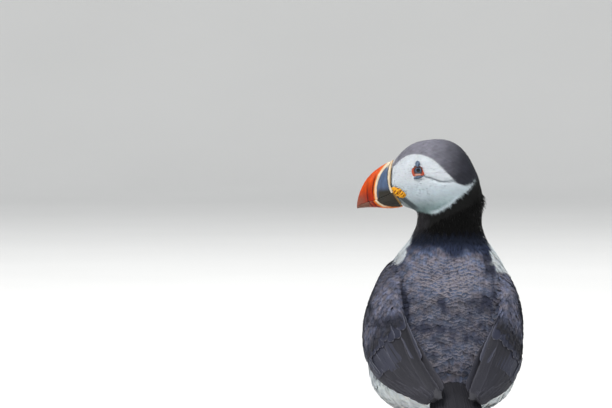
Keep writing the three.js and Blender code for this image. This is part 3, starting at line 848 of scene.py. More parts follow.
# ---------------------------------------------------------------- materials
class Shader:
    """A node material: a principled surface with nodes added by short calls."""

    def __init__(self, name, **sockets):
        self.material = bpy.data.materials.new(name)
        self.material.use_nodes = True
        self.tree = self.material.node_tree
        self.surface = self.tree.nodes["Principled BSDF"]
        for socket, value in sockets.items():
            self.surface.inputs[socket.replace("_", " ")].default_value = value

    def node(self, kind, inputs=(), **settings):
        node = self.tree.nodes.new(kind)
        for key, value in settings.items():
            setattr(node, key, value)
        for key, value in dict(inputs).items():
            if isinstance(value, bpy.types.NodeSocket):
                self.tree.links.new(value, node.inputs[key])
            else:
                node.inputs[key].default_value = value
        return node

    def math(self, operation, first, second=0.0, third=0.0, clamp=False):
        inputs = {0: first, 1: second, 2: third}
        return self.node("ShaderNodeMath", inputs, operation=operation, use_clamp=clamp).outputs[0]

    def band(self, value, low, high, out_low=0.0, out_high=1.0):
        """value from low to high, smoothly, as out_low to out_high."""
        inputs = {"Value": value, "From Min": low, "From Max": high,
                  "To Min": out_low, "To Max": out_high}
        node = self.node("ShaderNodeMapRange", inputs, interpolation_type="SMOOTHSTEP")
        return node.outputs["Result"]

    def blend(self, share, first, second, kind="MIX"):
        inputs = {0: share, 6: first, 7: second}
        return self.node("ShaderNodeMix", inputs, data_type="RGBA", blend_type=kind).outputs[2]

    def attribute(self, name):
        return self.node("ShaderNodeAttribute", attribute_name=name)

    def noise(self, vector, scale, detail=3.0, roughness=0.55):
        inputs = {"Vector": vector, "Scale": scale, "Detail": detail, "Roughness": roughness}
        return self.node("ShaderNodeTexNoise", inputs).outputs["Fac"]

    def split(self, vector):
        return self.node("ShaderNodeSeparateXYZ", {"Vector": vector}).outputs

    def join(self, x, y, z):
        return self.node("ShaderNodeCombineXYZ", {"X": x, "Y": y, "Z": z}).outputs[0]

    def place(self):
        return self.node("ShaderNodeTexCoord").outputs["Object"]

    def colour(self, source):
        self.tree.links.new(source, self.surface.inputs["Base Color"])

    def tint(self, share, *shade):
        """The piece's own colours, toward a shade by a share."""
        own = self.attribute("coat").outputs["Color"]
        self.colour(self.blend(share, own, linear(*shade)))

    def bump(self, height, depth, strength=1.0):
        inputs = {"Height": height, "Distance": depth * MM, "Strength": strength}
        normal = self.node("ShaderNodeBump", inputs).outputs["Normal"]
        self.tree.links.new(normal, self.surface.inputs["Normal"])

    def roughness(self, source):
        self.tree.links.new(source, self.surface.inputs["Roughness"])


def linear(red, green, blue):
    return (*rgb(red, green, blue), 1.0)


def plumage(name, fringe=(146, 141, 149), barbs=9.0, relief=0.25, rim=(0.9, 0.98), root=0.78,
            clear=0.5, **sockets):
    """Feathers with their marking, fringes pale from wear between the shares in rim, and roots darkened
    by root as painted shade, where the feathers over them shadow them.

    clear is the share of a feather's length from which the painted shade at its root is gone.
    """
    shader = Shader(name, **sockets)
    coat = shader.attribute("coat")
    across, along, seed = shader.split(shader.attribute("shape").outputs["Vector"])
    wide = shader.math("ABSOLUTE", across)
    slant = shader.math("MULTIPLY_ADD", along, -0.8, wide)
    barbs_across, apart = shader.math("MULTIPLY", across, barbs), shader.math("MULTIPLY", seed, 40.0)
    streaks = shader.noise(shader.join(barbs_across, along, apart), 1.6, 2.0)
    edge = shader.math("MAXIMUM", shader.band(along, *rim), shader.band(wide, 0.8, 1.05, 0.0, 0.4))
    edge = shader.math("MULTIPLY", edge, shader.band(streaks, 0.1, 0.5, 0.4, 1.0))
    edge = shader.math("MULTIPLY", edge, coat.outputs["Alpha"], clamp=True)
    # painted shade: each feather darkens toward its root, and a little in streaks among its barbs, as
    # where the feathers over it shadow it
    bright = shader.band(along, clear - 0.5, clear, root, 1.0)
    base = shader.blend(bright, linear(0, 0, 0), coat.outputs["Color"])
    base = shader.blend(shader.band(streaks, 0.25, 0.75, 0.45 * (1 - root), 0.0), base, linear(0, 0, 0))
    shader.colour(shader.blend(edge, base, linear(*fringe)))
    lines = shader.math("SINE", shader.math("MULTIPLY", slant, barbs * 4.0))
    shader.bump(shader.math("MULTIPLY_ADD", lines, 0.3, streaks), relief)
    return shader.material


def skin_material():
    shader = Shader("skin_down", Roughness=0.75, Sheen_Weight=0.1)
    grain = shader.noise(shader.place(), 900.0)
    shader.tint(shader.band(grain, 0.3, 0.7, 0.25, 0.0), 0, 0, 0)
    shader.bump(grain, 0.15)
    return shader.material


def floor_material():
    shader = Shader("floor_plain", Roughness=0.9)
    grain = shader.noise(shader.place(), 3.0)
    shader.colour(shader.blend(grain, linear(226, 225, 222), linear(232, 231, 228)))
    return shader.material


def add_floor():
    """One sheet, flat round the bird and curving up far away on every side."""
    cells = 80
    run = np.linspace(-FLOOR_REACH, FLOOR_REACH, cells + 1)
    y, x = np.meshgrid(run, run, indexing="ij")
    rise = WALL_HEIGHT * smooth_step(WALL_FROM, FLOOR_REACH, np.hypot(x, y))
    corner = np.arange(cells)[:, None] * (cells + 1) + np.arange(cells)
    above = corner + cells + 1
    faces = np.stack([corner, corner + 1, above + 1, above], axis=2).reshape(-1, 4)
    floor = new_piece("floor", np.stack([x, y, rise], axis=2).reshape(-1, 3), faces)
    floor.data.materials.append(floor_material())


def finish_piece(piece, material, slot, *nodes):
    piece.data.materials.append(material)
    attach(piece, "root")
    if nodes:
        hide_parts(*nodes)


# ---------------------------------------------------------------- the bill
STRIPE = (20.6, -9.5, 25.8)  # the pale stripe's circle on the side of the head: ahead, up, radius
STRIPE_HALF = 0.76
GROOVES = (27.9, 31.9)  # radii of the grooves in the bill's front, about the stripe's middle
# the pale stripe's lower part, from the cutting edge back along the underside: ahead and up
CHEVRON = np.array([
    [46.8, -15.2], [44.2, -17.9], [40.3, -19.9], [34.6, -20.9], [29.8, -20.8], [26.5, -19.8],
])
LOWER_BASE = np.array([33.3, -10.4])  # the feathers' edge runs from here to below the chin
BASE_SLANT = unit(np.array([6.1, 8.8]))
RIDGE = (21.0, 0.6, 1.25)  # the front of the ridge round the bill's base: middle, and how much taller
RIDGE_GROOVE = 15.4
HORN_RED, HORN_ORANGE, HORN_TIP = rgb(153, 34, 2), rgb(197, 69, 0), rgb(122, 84, 70)
HORN_LINE, HORN_GROOVE, HORN_CREAM = rgb(216, 112, 10), rgb(84, 20, 12), rgb(218, 201, 172)
HORN_SLATE, SLATE_IN_SHADE, HORN_TAN = rgb(76, 93, 120), rgb(48, 47, 42), rgb(150, 116, 62)


def line(value, middle, half):
    """1 in a line about the middle, 0 outside it, with soft edges."""
    return smooth_step(half + 0.18, half - 0.18, np.abs(value - middle))


def bill_upper_finish(place, points):
    """Colours of the upper mandible and how far its surface stands out."""
    ahead, up = place[:, 1], place[:, 2]
    far = np.hypot(ahead - STRIPE[0], up - STRIPE[1]) + 0.12 * wave_noise(points, 3, 21)
    # partly painted highlight: the horn turns orange along the culmen and on its upper front, where the
    # light catches it, over its own red and orange
    culmen = smooth_step(2.4, 0.8, np.abs(place[:, 0])) * smooth_step(-14, -4, up)
    bright = smooth_step(-13, 0, up + 0.8 * (ahead - 50) + 2 * wave_noise(points, 7, 22))
    front = mix(HORN_RED, HORN_ORANGE, np.maximum(culmen, bright))
    fibres = wave_noise(np.stack([far * 1.6, 0.12 * up, 0 * up], axis=1), 2.0, 28)
    front = front * (1 + 0.3 * fibres * smooth_step(36, 31, far))[:, None]
    # partly painted reflection: the tip's lower part is the tip's own duller horn, with a painted gloss
    # reflection along its lower edge
    front = mix(front, HORN_TIP, 0.7 * smooth_step(50, 57, ahead) * smooth_step(-8, -17, up))
    inner = smooth_step(3, -2, up) * smooth_step(-13, -9, up)
    outer = smooth_step(-4, -10, up)
    grooves = [strength * (1 - culmen) for strength in (inner, outer)]
    for radius, strength in zip(GROOVES, grooves):
        front = mix(front, HORN_GROOVE, 0.85 * line(far, radius, 0.42) * strength)
    front = mix(front, HORN_LINE, line(far, STRIPE[2] + 1.15, 0.35))
    streaks = wave_noise(points * [1, 1, 0.15], 2.0, 23)
    # painted shade: low marks the plate's lower part, by the nostril and the cutting edge, where its
    # slate is drawn dark as in shade
    low = smooth_step(-6, -10, up + 0.12 * (ahead - 40)) * smooth_step(46.2, 43.6, ahead)
    plate = mix(HORN_SLATE * (1 + 0.22 * streaks)[:, None], SLATE_IN_SHADE, low)
    plate = mix(plate, HORN_CREAM, 0.8 * smooth_step(7.0, 10.5, up + 0.3 * (40 - ahead)))
    colour = mix(plate, front, smooth_step(-0.2, 0.2, far - STRIPE[2]))
    stripe = line(far, STRIPE[2], STRIPE_HALF)
    colour = mix(colour, mix(HORN_CREAM, HORN_LINE, 0.3 * smooth_step(0, -14, up)), stripe)
    rise = 0.2 * stripe - 0.12 * smooth_step(0.2, -0.2, far - STRIPE[2] + 1)
    for radius, strength in zip(GROOVES, grooves):
        rise = rise - 0.3 * np.exp(-(((far - radius) / 0.4) ** 2)) * strength
    return colour, rise + 0.06 * fibres


def bill_lower_finish(place, points):
    """Colours and relief of the lower mandible, by the distance from its pale stripe."""
    ahead = place[:, 1]
    far = from_path(place[:, 1:], CHEVRON) + 0.1 * wave_noise(points, 3, 24)
    front = mix(HORN_RED, HORN_ORANGE, smooth_step(-0.5, 0.6, wave_noise(points, 6, 25)))
    front = mix(front, HORN_TIP * 0.9, smooth_step(47, 52, ahead + 0.6 * wave_noise(points, 3, 29)))
    for gap in (2.6, 4.6):
        front = mix(front, HORN_GROOVE, 0.85 * line(far, gap, 0.4))
    # painted shade: the lower mandible's slate plate is drawn dark, as in shade
    plate = SLATE_IN_SHADE * (1 + 0.12 * wave_noise(points, 2.2, 26))[:, None]
    from_base = (place[:, 1:] - LOWER_BASE) @ np.array([BASE_SLANT[1], -BASE_SLANT[0]])
    plate = mix(plate, HORN_TAN, smooth_step(1.5, 0.8, from_base))
    colour = mix(plate, front, smooth_step(-0.2, 0.2, far))
    colour = mix(colour, HORN_LINE, line(far, 1.2, 0.45))
    half = np.interp(ahead, [30, 44], [0.35, 0.62])
    stripe = line(far, 0, half)
    colour = mix(colour, mix(HORN_LINE, HORN_CREAM, smooth_step(34, 43, ahead)), stripe)
    colour = mix(colour, CHIN * 0.7, smooth_step(0.3, -0.1, from_base))
    return colour, 0.18 * stripe - 0.1 * smooth_step(0.2, -0.2, far + 1)


def ridge_finish(skin):
    """The pale ridge round the bill's base, browner in its groove and near the face."""
    def finish(place, points):
        far = np.hypot(place[:, 1] - RIDGE[0], (place[:, 2] - RIDGE[1]) / RIDGE[2])
        from_face = nearest(skin.outer_tree, points)[2]
        groove = line(far, RIDGE_GROOVE, 0.15)
        colour = HORN_CREAM * (1 + 0.08 * wave_noise(points, 2.5, 27))[:, None]
        brown = np.maximum(0.6 * groove, 0.8 * smooth_step(1.3, 0.7, from_face))
        colour = mix(colour, HORN_TAN, brown)
        colour = mix(colour, HORN_LINE, 0.12 * smooth_step(7, 13, place[:, 2]) * (1 - groove))
        return colour, -0.25 * np.exp(-(((far - RIDGE_GROOVE) / 0.4) ** 2))
    return finish


def horn_material(name, gloss=0.34):
    """Horn: its colours, duller in patches, with a fine grain."""
    shader = Shader(name, Roughness=gloss, Specular_IOR_Level=0.16, Coat_Weight=0.03,
                    Coat_Roughness=0.25)
    fine = shader.noise(shader.place(), 1500.0, 4.0)
    wide = shader.noise(shader.place(), 260.0, 3.0)
    shader.tint(shader.band(wide, 0.35, 0.7, 0.0, 0.22), 60, 40, 30)
    shader.roughness(shader.band(wide, 0.2, 0.8, gloss - 0.06, gloss + 0.16))
    shader.bump(fine, 0.09)
    return shader.material


def finished_solid(name, nodes, voxel, rounds, finish, grow=0.0, swell=0.0, shift=(0, 0, 0)):
    """A piece from CAD solids: smoothed, its relief pushed out, and its colours written on."""
    points, faces = remeshed(nodes, voxel, rounds, grow)
    points = points + shift
    colour, rise = finish(HEAD.local(points), points)
    points = points + normals_of(points, faces) * (np.asarray(rise) + swell)[:, None]
    piece = new_piece(name, points, faces)
    write_colour(piece, "coat", np.column_stack([colour, np.zeros(len(points))]))
    return piece


def add_bill(skin):
    horn = horn_material("horn")
    for half, finish in (("upper", bill_upper_finish), ("lower", bill_lower_finish)):
        piece = finished_solid(f"{half}_mandible", [f"bill_{half}"], 0.3, 50, finish, swell=0.17)
        finish_piece(piece, horn, "bill_horn", f"bill_{half}")
    piece = finished_solid("base_ridge", ["bill_ridge"], 0.28, 25, ridge_finish(skin))
    finish_piece(piece, horn_material("ridge_horn", 0.45), "bill_ridge", "bill_ridge")


# ---------------------------------------------------------------- gape, eyes and their plates
ROSETTE_TILT = math.radians(-35)
ROSETTE_LONG, ROSETTE_WIDE = 5.6, 2.9  # half its length and half its width
GAPE_BRIGHT, GAPE_SHADED = rgb(222, 156, 0), rgb(122, 56, 0)
PLATE_BLUE, PLATE_DARK = rgb(98, 116, 138), rgb(60, 74, 92)
LID_RED, LID_DARK, LID_PALE = rgb(190, 76, 42), rgb(66, 36, 36), rgb(222, 176, 160)


def rosette_finish(middle):
    """Folds of bare skin round the corner of the mouth, with painted shade in the folds' hollows and in
    the slit.
    """
    def finish(place, points):
        flat = place[:, 1:] - middle[1:]
        along = flat[:, 0] * math.cos(ROSETTE_TILT) + flat[:, 1] * math.sin(ROSETTE_TILT)
        across = flat[:, 1] * math.cos(ROSETTE_TILT) - flat[:, 0] * math.sin(ROSETTE_TILT)
        rim = np.hypot(along / ROSETTE_LONG, across / ROSETTE_WIDE)
        angle = np.arctan2(across / ROSETTE_WIDE, along / ROSETTE_LONG)
        folds = np.cos(rim * 11 + 0.8 * np.sin(2 * angle) + 0.7 * wave_noise(points, 4, 31))
        pleats = np.cos(9 * angle + 2 * wave_noise(points, 5, 32)) * smooth_step(0.35, 0.9, rim)
        height = 0.65 * folds + 0.5 * pleats
        slit = np.exp(-((across / 0.35) ** 2)) * smooth_step(0.85, 0.4, np.abs(along) / ROSETTE_LONG)
        # painted shade: the skin darkens where the folds sink, and more in the slit
        colour = mix(GAPE_SHADED, GAPE_BRIGHT, smooth_step(-0.9, 0.3, height))
        colour = mix(colour, GAPE_SHADED * 0.5, 0.75 * slit)
        return colour, 0.24 * height - 0.5 * slit - 0.15
    return finish


def plate_finish(place, points):
    grain = wave_noise(points, 1.6, 33)
    return mix(PLATE_DARK, PLATE_BLUE, smooth_step(-0.8, 0.2, grain)), 0.05 * grain


def bar_finish(place, points):
    """The bar below the eye thins out backward into the furrow."""
    colour, rise = plate_finish(place, points)
    return colour * 0.78, rise - 0.55 * smooth_step(17.5, 12, place[:, 1])


def eye_frame(side):
    """The eye's own frame: ahead and up as on the head, out of the head along its side."""
    return Place(centre("eye_r" if side > 0 else "eye_l"), HEAD.axes[0], HEAD.axes[1])


def add_eye_ring(side, letter, skin, material):
    """The bare ring that the eyeball looks out of, from its lip down to the feathers."""
    eye = eye_frame(side)
    turns = np.linspace(0, 2 * math.pi, 96, endpoint=False)
    lip = LID_OPEN - 0.12 - 0.45 * np.sin(turns) ** 2  # the opening is wider than it is high
    ways = np.stack([0 * turns, np.cos(turns), np.sin(turns)], axis=1)
    reach = eye_ring_reach(turns)

    def ball(radius):
        return np.sqrt(EYE_RADIUS ** 2 - radius ** 2)

    hits = []
    for way, far in zip(ways, reach):
        start = eye.world(way * far + [side * 20, 0, 0])
        hits.append(skin.outer_tree.ray_cast(Vector(start), Vector(eye.turn([-side, 0, 0])))[0])
    ground = np.abs(eye.local(np.array(hits))[:, 0])
    ground = (ground + np.roll(ground, 1) + np.roll(ground, -1)) / 3
    wrinkle = 0.07 * np.sin(turns * 23) + 0.05 * np.sin(turns * 37 + 1)
    # radius and height of each round of points, from below the lip out to below the feathers
    rows = [(lip - 0.25, ball(lip) - 0.5), (lip, ball(lip) + 0.1)]
    rows += [(lip + 0.1, ball(lip) + 0.28), (lip + 0.25, ball(lip) + 0.32)]
    for share, puff in ((0.25, 0.2), (0.5, 0.32), (0.75, 0.34)):
        radius = (lip + 0.25) * (1 - share) + reach * share
        height = (ball(lip) + 0.25) * (1 - share) + ground * share + puff * 0.8
        rows.append((radius, np.maximum(height, ball(np.minimum(radius, 4.45)) + 0.3) + wrinkle))
    rows.append((reach, ground + 0.12 + wrinkle))
    rows.append((reach + 0.15, ground - 0.5))
    rows.append((0.5 * reach + 1.2, ground - 1.6))
    points = np.concatenate([
        ways * radius[:, None] + np.outer(height, [side, 0, 0]) for radius, height in rows
    ])
    points = eye.world(points)
    faces = ring_quads(len(rows), len(turns), closed=True)
    piece = new_piece(f"eye_ring_{letter}", points, faces if side < 0 else faces[:, ::-1])
    spread = np.concatenate([(radius - lip) / (reach - lip) for radius, _ in rows])
    place = eye.local(points)
    colour = mix(LID_DARK, LID_RED, smooth_step(0.15, 0.6, spread + 0.2 * wave_noise(points, 2, 34)))
    colour = mix(colour, LID_DARK, 0.85 * smooth_step(0.2, 2.4, place[:, 2]))
    pale = smooth_step(-2, -2.8, place[:, 2]) * smooth_step(2.6, 1.2, np.abs(place[:, 1] - 0.2))
    colour = mix(colour, LID_PALE, 0.8 * pale)
    write_colour(piece, "coat", np.column_stack([colour, np.zeros(len(points))]))
    finish_piece(piece, material, "eye_plates")


def add_eye(side, letter, material):
    """A ball with a domed cornea, facing out of the side of the head."""
    eye = eye_frame(side)
    rings, count = 40, 64
    tilt = np.linspace(0, math.pi, rings + 1)[1:-1]
    turns = np.linspace(0, 2 * math.pi, count, endpoint=False)
    rise = EYE_RADIUS - 0.12 + 0.12 * smooth_step(0.55, 0.1, tilt)
    grid = np.stack([
        np.outer(rise * np.cos(tilt), np.full(count, side)),
        np.outer(rise * np.sin(tilt), np.cos(turns)),
        np.outer(rise * np.sin(tilt), np.sin(turns)),
    ], axis=2).reshape(-1, 3)
    ends = np.array([[side * rise[0], 0, 0], [-side * rise[-1], 0, 0]])
    points = np.concatenate([grid, ends])
    sides = ring_quads(rings - 1, count)[:, [0, 1, 2, 0, 2, 3]].reshape(-1, 3)
    k, last = np.arange(count), len(grid) - count
    after, pole = (k + 1) % count, np.full(count, len(grid))
    caps = np.stack([pole, after, k, pole + 1, last + k, last + after], axis=1).reshape(-1, 3)
    faces = np.concatenate([sides, caps])
    piece = new_piece(f"eyeball_{letter}", eye.world(points), faces if side < 0 else faces[:, ::-1])
    write_vector(piece, "shape", points / EYE_RADIUS)
    finish_piece(piece, material, "eyes", f"eye_{letter}")


def eye_material():
    shader = Shader("eye", Roughness=0.1, Specular_IOR_Level=0.2, Coat_Weight=0.45, Coat_Roughness=0.02)
    _, y, z = shader.split(shader.attribute("shape").outputs["Vector"])
    squares = shader.math("MULTIPLY_ADD", z, z, shader.math("MULTIPLY", y, y))
    far = shader.math("SQRT", squares)
    spokes = shader.noise(shader.join(shader.math("MULTIPLY", far, 3.0), y, z), 14.0, 4.0)
    # painted reflection: the iris is drawn blue-grey, the sky's reflection in the cornea, in place of
    # its own dark brown
    iris = shader.blend(spokes, linear(40, 50, 66), linear(84, 100, 122))
    white = shader.blend(shader.band(far, 0.52, 0.6), iris, linear(24, 18, 18))
    shader.colour(shader.blend(shader.band(far, 0.29, 0.32), linear(3, 3, 4), white))
    return shader.material


def bare_material(name, gloss, relief, shine):
    """Bare skin: its colours, fine wrinkles and a soft shine."""
    shader = Shader(name, Roughness=gloss, Specular_IOR_Level=shine, Subsurface_Weight=0.08,
                    Subsurface_Scale=0.001)
    fine = shader.noise(shader.place(), 1300.0, 4.0)
    shader.tint(shader.band(fine, 0.3, 0.7, 0.2, 0.0), 70, 30, 16)
    shader.bump(fine, relief)
    return shader.material


def add_face_parts(skin):
    gape_skin = bare_material("gape_skin", 0.5, 0.2, 0.25)
    lid_skin = bare_material("lid_skin", 0.45, 0.14, 0.4)
    plate_horn = horn_material("plate_horn", 0.5)
    eye = eye_material()
    for side, letter in ((-1, "l"), (1, "r")):
        middle = HEAD.local(centre(f"gape_{letter}")[None])[0]
        gape, brow, lid = f"gape_{letter}", f"brow_plate_{letter}", f"lid_plate_{letter}"
        piece = finished_solid(f"gape_fold_{letter}", [gape], 0.22, 20, rosette_finish(middle))
        finish_piece(piece, gape_skin, "gape_skin", gape)
        for name, node, finish in (("eye_horn", brow, plate_finish), ("eye_bar", lid, bar_finish)):
            piece = finished_solid(f"{name}_{letter}", [node], 0.2, 14, finish)
            finish_piece(piece, plate_horn, "eye_plates", node)
        add_eye_ring(side, letter, skin, lid_skin)
        add_eye(side, letter, eye)


# ---------------------------------------------------------------- legs
LEG_ORANGE, LEG_RED = rgb(226, 96, 36), rgb(206, 70, 30)
WEB, JOINT = rgb(222, 112, 50), rgb(110, 62, 44)
CLAW_DARK, CLAW_PALE = rgb(34, 30, 30), rgb(84, 74, 68)
TOES = ("inner", "middle", "outer")
SCUTE = 1.5  # the length of one scute


def leg_finish(letter):
    """Scutes up the leg and along the toes, and creases in the webs between them."""
    claws = [centre(f"claw_{toe}_{letter}")[:2] for toe in TOES]
    shank = f"shank_{letter}"
    heel = np.array([centre(shank)[0], corners(shank)[0][1] + 2.5])

    def finish(place, points):
        share = np.full(len(points), 1e3)
        along = np.zeros(len(points))
        for claw in claws:
            step = claw - heel
            reach = np.linalg.norm(step)
            flat = points[:, :2] - heel
            run = flat @ step / reach
            off = np.abs(flat[:, 0] * step[1] - flat[:, 1] * step[0]) / reach
            near = off < share
            share = np.where(near, off, share)
            along = np.where(near, run, along)
        up = points[:, 2]
        on_leg = smooth_step(5.5, 8, up)
        toe = smooth_step(3.0, 1.6, share) * (1 - on_leg)
        scutes = np.cos((along * (1 - on_leg) + up * on_leg) * 2 * math.pi / SCUTE)
        ridge = np.maximum(toe, on_leg) * smooth_step(-0.7, 0.6, scutes)
        creases = np.cos(share * 4.2 + 1.2 * wave_noise(points, 6, 41)) * (1 - toe) * (1 - on_leg)
        top = smooth_step(0.4, 1.2, up)
        colour = mix(WEB, LEG_ORANGE, np.maximum(toe, on_leg))
        colour = mix(colour, LEG_RED, 0.6 * (1 - ridge) * np.maximum(toe, on_leg))
        colour = mix(colour, JOINT, 0.35 * smooth_step(0.1, 0.7, wave_noise(points, 7, 42)))
        colour = mix(JOINT, colour, 0.4 + 0.6 * top)
        return colour, (0.12 * ridge + 0.07 * creases - 0.1) * top
    return finish


def scale_material():
    shader = Shader("leg_skin", Roughness=0.5, Specular_IOR_Level=0.35, Subsurface_Weight=0.06,
                    Subsurface_Scale=0.001)
    inputs = {"Vector": shader.place(), "Scale": 1500.0}
    cells = shader.node("ShaderNodeTexVoronoi", inputs, feature="DISTANCE_TO_EDGE").outputs["Distance"]
    edge = shader.band(cells, 0.0, 0.16)
    shader.tint(shader.band(edge, 0.0, 1.0, 0.28, 0.0), 90, 34, 14)
    shader.bump(edge, 0.12)
    return shader.material


def claw_finish(place, points):
    grain = wave_noise(points, 2.0, 43)
    return mix(CLAW_DARK, CLAW_PALE, smooth_step(0.2, 0.9, grain)), 0 * grain


def add_legs():
    scales, horn = scale_material(), horn_material("claw_horn", 0.32)
    for letter in "lr":
        nodes = [f"shank_{letter}", f"foot_{letter}"]
        piece = finished_solid(f"leg_{letter}", nodes, 0.42, 9, leg_finish(letter), 0.2, 0.12)
        finish_piece(piece, scales, "leg_skin", *nodes)
        foot = centre(f"foot_{letter}")
        for toe in TOES:
            node, name = f"claw_{toe}_{letter}", f"nail_{toe}_{letter}"
            back = unit((foot - centre(node)) * [1, 1, 0]) * 1.7
            piece = finished_solid(name, [node], 0.2, 4, claw_finish, swell=0.22, shift=back)
            finish_piece(piece, horn, "claws", node)


# ---------------------------------------------------------------- quills of the wings and tail
class WingFace:
    """The outer face of a folded wing: run goes from shoulder to tip, and across to its upper edge."""

    def __init__(self, side):
        points, faces = remeshed(WINGS[side], 1.2, 10, MERGE)
        self.tree = tree_of(points, faces)
        self.start = points[points[:, 2] > points[:, 2].max() - 3].mean(0)
        tip = points[np.argmin(points[:, 1] + 0.5 * points[:, 2])]
        self.length = np.linalg.norm(tip - self.start)
        self.down = unit(tip - self.start)
        out = np.array([side, -0.35, 0.25])
        self.out = unit(out - self.down * (out @ self.down))
        self.over = np.cross(self.down, self.out)
        if self.over[1] > 0:
            self.over = -self.over
        run = self.run_of(points)
        across = (points - self.start) @ self.over
        self.runs = np.linspace(-0.05, 1.0, 30)
        spans = []
        for at in self.runs:
            near = across[np.abs(run - at) < 0.03]
            spans.append([near.min(), near.max()] if len(near) else spans[-1])
        spans = np.array(spans)
        spans[1:-1] = (spans[:-2] + spans[1:-1] + spans[2:]) / 3
        self.spans = spans

    def run_of(self, points):
        return (points - self.start) @ self.down / self.length

    def surface(self, run, across, under=False):
        """Points and normals on the wing's outer face, or on its inner side when under is true."""
        out = -self.out if under else self.out
        low = np.interp(run, self.runs, self.spans[:, 0])
        high = np.interp(run, self.runs, self.spans[:, 1])
        level = low + (high - low) * across
        base = self.start + np.outer(run * self.length, self.down) + np.outer(level, self.over)
        places, facing = [], []
        for point in base:
            hit = self.tree.ray_cast(Vector(point + out * 60), Vector(-out), 120)
            if hit[0] is None:
                hit = self.tree.find_nearest(Vector(point))
            places.append(hit[0])
            facing.append(hit[1])
        places, facing = np.array(places), np.array(facing)
        facing = np.where(np.sum(facing * out, axis=1, keepdims=True) > 0.2, facing, out)
        for _ in range(4):
            inner = (facing[:-2] + 2 * facing[1:-1] + facing[2:]) / 4
            facing = unit(np.concatenate([facing[:1], inner, facing[-1:]]))
            inner = (places[:-2] + 2 * places[1:-1] + places[2:]) / 4
            places = np.concatenate([places[:1], inner, places[-1:]])
        return places, facing


class Quills:
    """Large feathers joined into one mesh, each a thin closed vane with its shaft raised."""
    rows, columns = 26, 9

    def __init__(self, draw):
        self.draw = draw
        self.points, self.coats, self.shapes = [], [], []

    def add(self, spine, facing, half, lead, colour, edge, fringe, sag=0.0, blunt=0.14, thick=0.3):
        """One quill. The vane on lead's side is abs(lead) of half wide; sag bends the edges inward."""
        share = np.linspace(0, 1, self.rows)
        old = np.linspace(0, 1, len(spine))
        spine = np.stack([np.interp(share, old, spine[:, k]) for k in range(3)], axis=1)
        facing = unit(np.stack([np.interp(share, old, facing[:, k]) for k in range(3)], axis=1))
        forward = unit(np.gradient(spine, axis=0))
        side = unit(np.cross(forward, facing))
        facing = np.cross(side, forward)
        width = half * smooth_step(-0.35, 0.3, share)
        round_tip = np.clip((share - 1 + blunt) / blunt, 0, 1)
        width = width * np.sqrt(np.maximum(1 - round_tip ** 2, 0.004))
        u = np.linspace(-1, 1, self.columns)
        narrow = np.where(u * np.sign(lead) > 0, abs(lead), 1.0)
        nick = 0.05 * self.draw.normal(0, 1, (self.rows, self.columns))
        nick = 1 + nick * (np.abs(u) > 0.9) * (share < 0.97)[:, None]
        across = width[:, None] * (u * narrow)[None] * nick
        drop = sag * across ** 2
        shaft = 0.28 * np.exp(-((across / 0.4) ** 2)) * (1 - 0.7 * share)[:, None]
        wave = 0.05 * np.sin(across * 2.3 + 9 * share[:, None] + self.draw.uniform(0, 6))
        body = thick / 2 * np.sqrt(np.maximum(1 - np.abs(u) ** 3, 0))[None] * np.ones((self.rows, 1))
        middle = spine[:, None] + side[:, None] * across[..., None]
        top = middle + facing[:, None] * (body + shaft + wave - drop)[..., None]
        under = middle - facing[:, None] * (body + drop - wave)[..., None]
        self.points.append(np.concatenate([top.reshape(-1, 3), under.reshape(-1, 3)]))
        pale = np.clip(np.abs(u) ** 6 * np.where(u * np.sign(lead) > 0, 1.0, 0.35), 0, 1)
        streak = 1 + 0.08 * self.draw.normal()
        paint = mix(colour * streak, edge, np.broadcast_to(pale[None], across.shape) * 0.8)
        alpha = np.full(across.shape + (1,), fringe)
        coat = np.concatenate([paint, alpha], axis=2).reshape(-1, 4)
        self.coats.append(np.concatenate([coat, coat]))
        seed = self.draw.uniform(0, 1)
        run = np.concatenate([[0], np.cumsum(np.linalg.norm(np.diff(spine, axis=0), axis=1))])
        # near_tip also sets the quill material's painted shade: each quill stays darker except for its
        # last few millimetres, as where the quills over it shadow it
        near_tip = np.maximum(1 - 0.09 * (run[-1] - run), 0.5 * share)
        grid = np.stack(np.broadcast_arrays(u[None], near_tip[:, None], seed), axis=2).reshape(-1, 3)
        self.shapes.append(np.concatenate([grid, grid]))

    def build(self, name):
        rows, columns, count = self.rows, self.columns, len(self.points)
        size = rows * columns
        quads = []
        for r in range(rows - 1):
            for c in range(columns - 1):
                a = r * columns + c
                quads.append([a, a + 1, a + columns + 1, a + columns])
                quads.append([size + a, size + a + columns, size + a + columns + 1, size + a + 1])
        rim = list(range(columns))
        rim += [r * columns + columns - 1 for r in range(1, rows)]
        rim += [(rows - 1) * columns + c for c in range(columns - 2, -1, -1)]
        rim += [r * columns for r in range(rows - 2, 0, -1)]
        for a, b in zip(rim, rim[1:] + rim[:1]):
            quads.append([b, a, size + a, size + b])
        quads = np.array(quads)
        faces = quads[None] + (np.arange(count) * 2 * size)[:, None, None]
        piece = new_piece(name, np.concatenate(self.points), faces.reshape(-1, 4))
        write_colour(piece, "coat", np.concatenate(self.coats))
        shapes = np.concatenate(self.shapes)
        write_vector(piece, "shape", shapes)
        cells = math.ceil(math.sqrt(2 * count))
        cell = np.repeat(np.arange(2 * count), size)
        along = np.tile(np.repeat(np.linspace(0, 1, rows), columns), 2 * count)
        column = cell % cells + 0.5 + 0.42 * shapes[:, 0]
        row = cell // cells + 0.08 + 0.84 * along
        write_map(piece, np.stack([column, row], axis=1) / cells)
        return piece


def numbered(count):
    """Each quill's number and its share of the way across its row."""
    return [(k, k / (count - 1)) for k in range(count)]


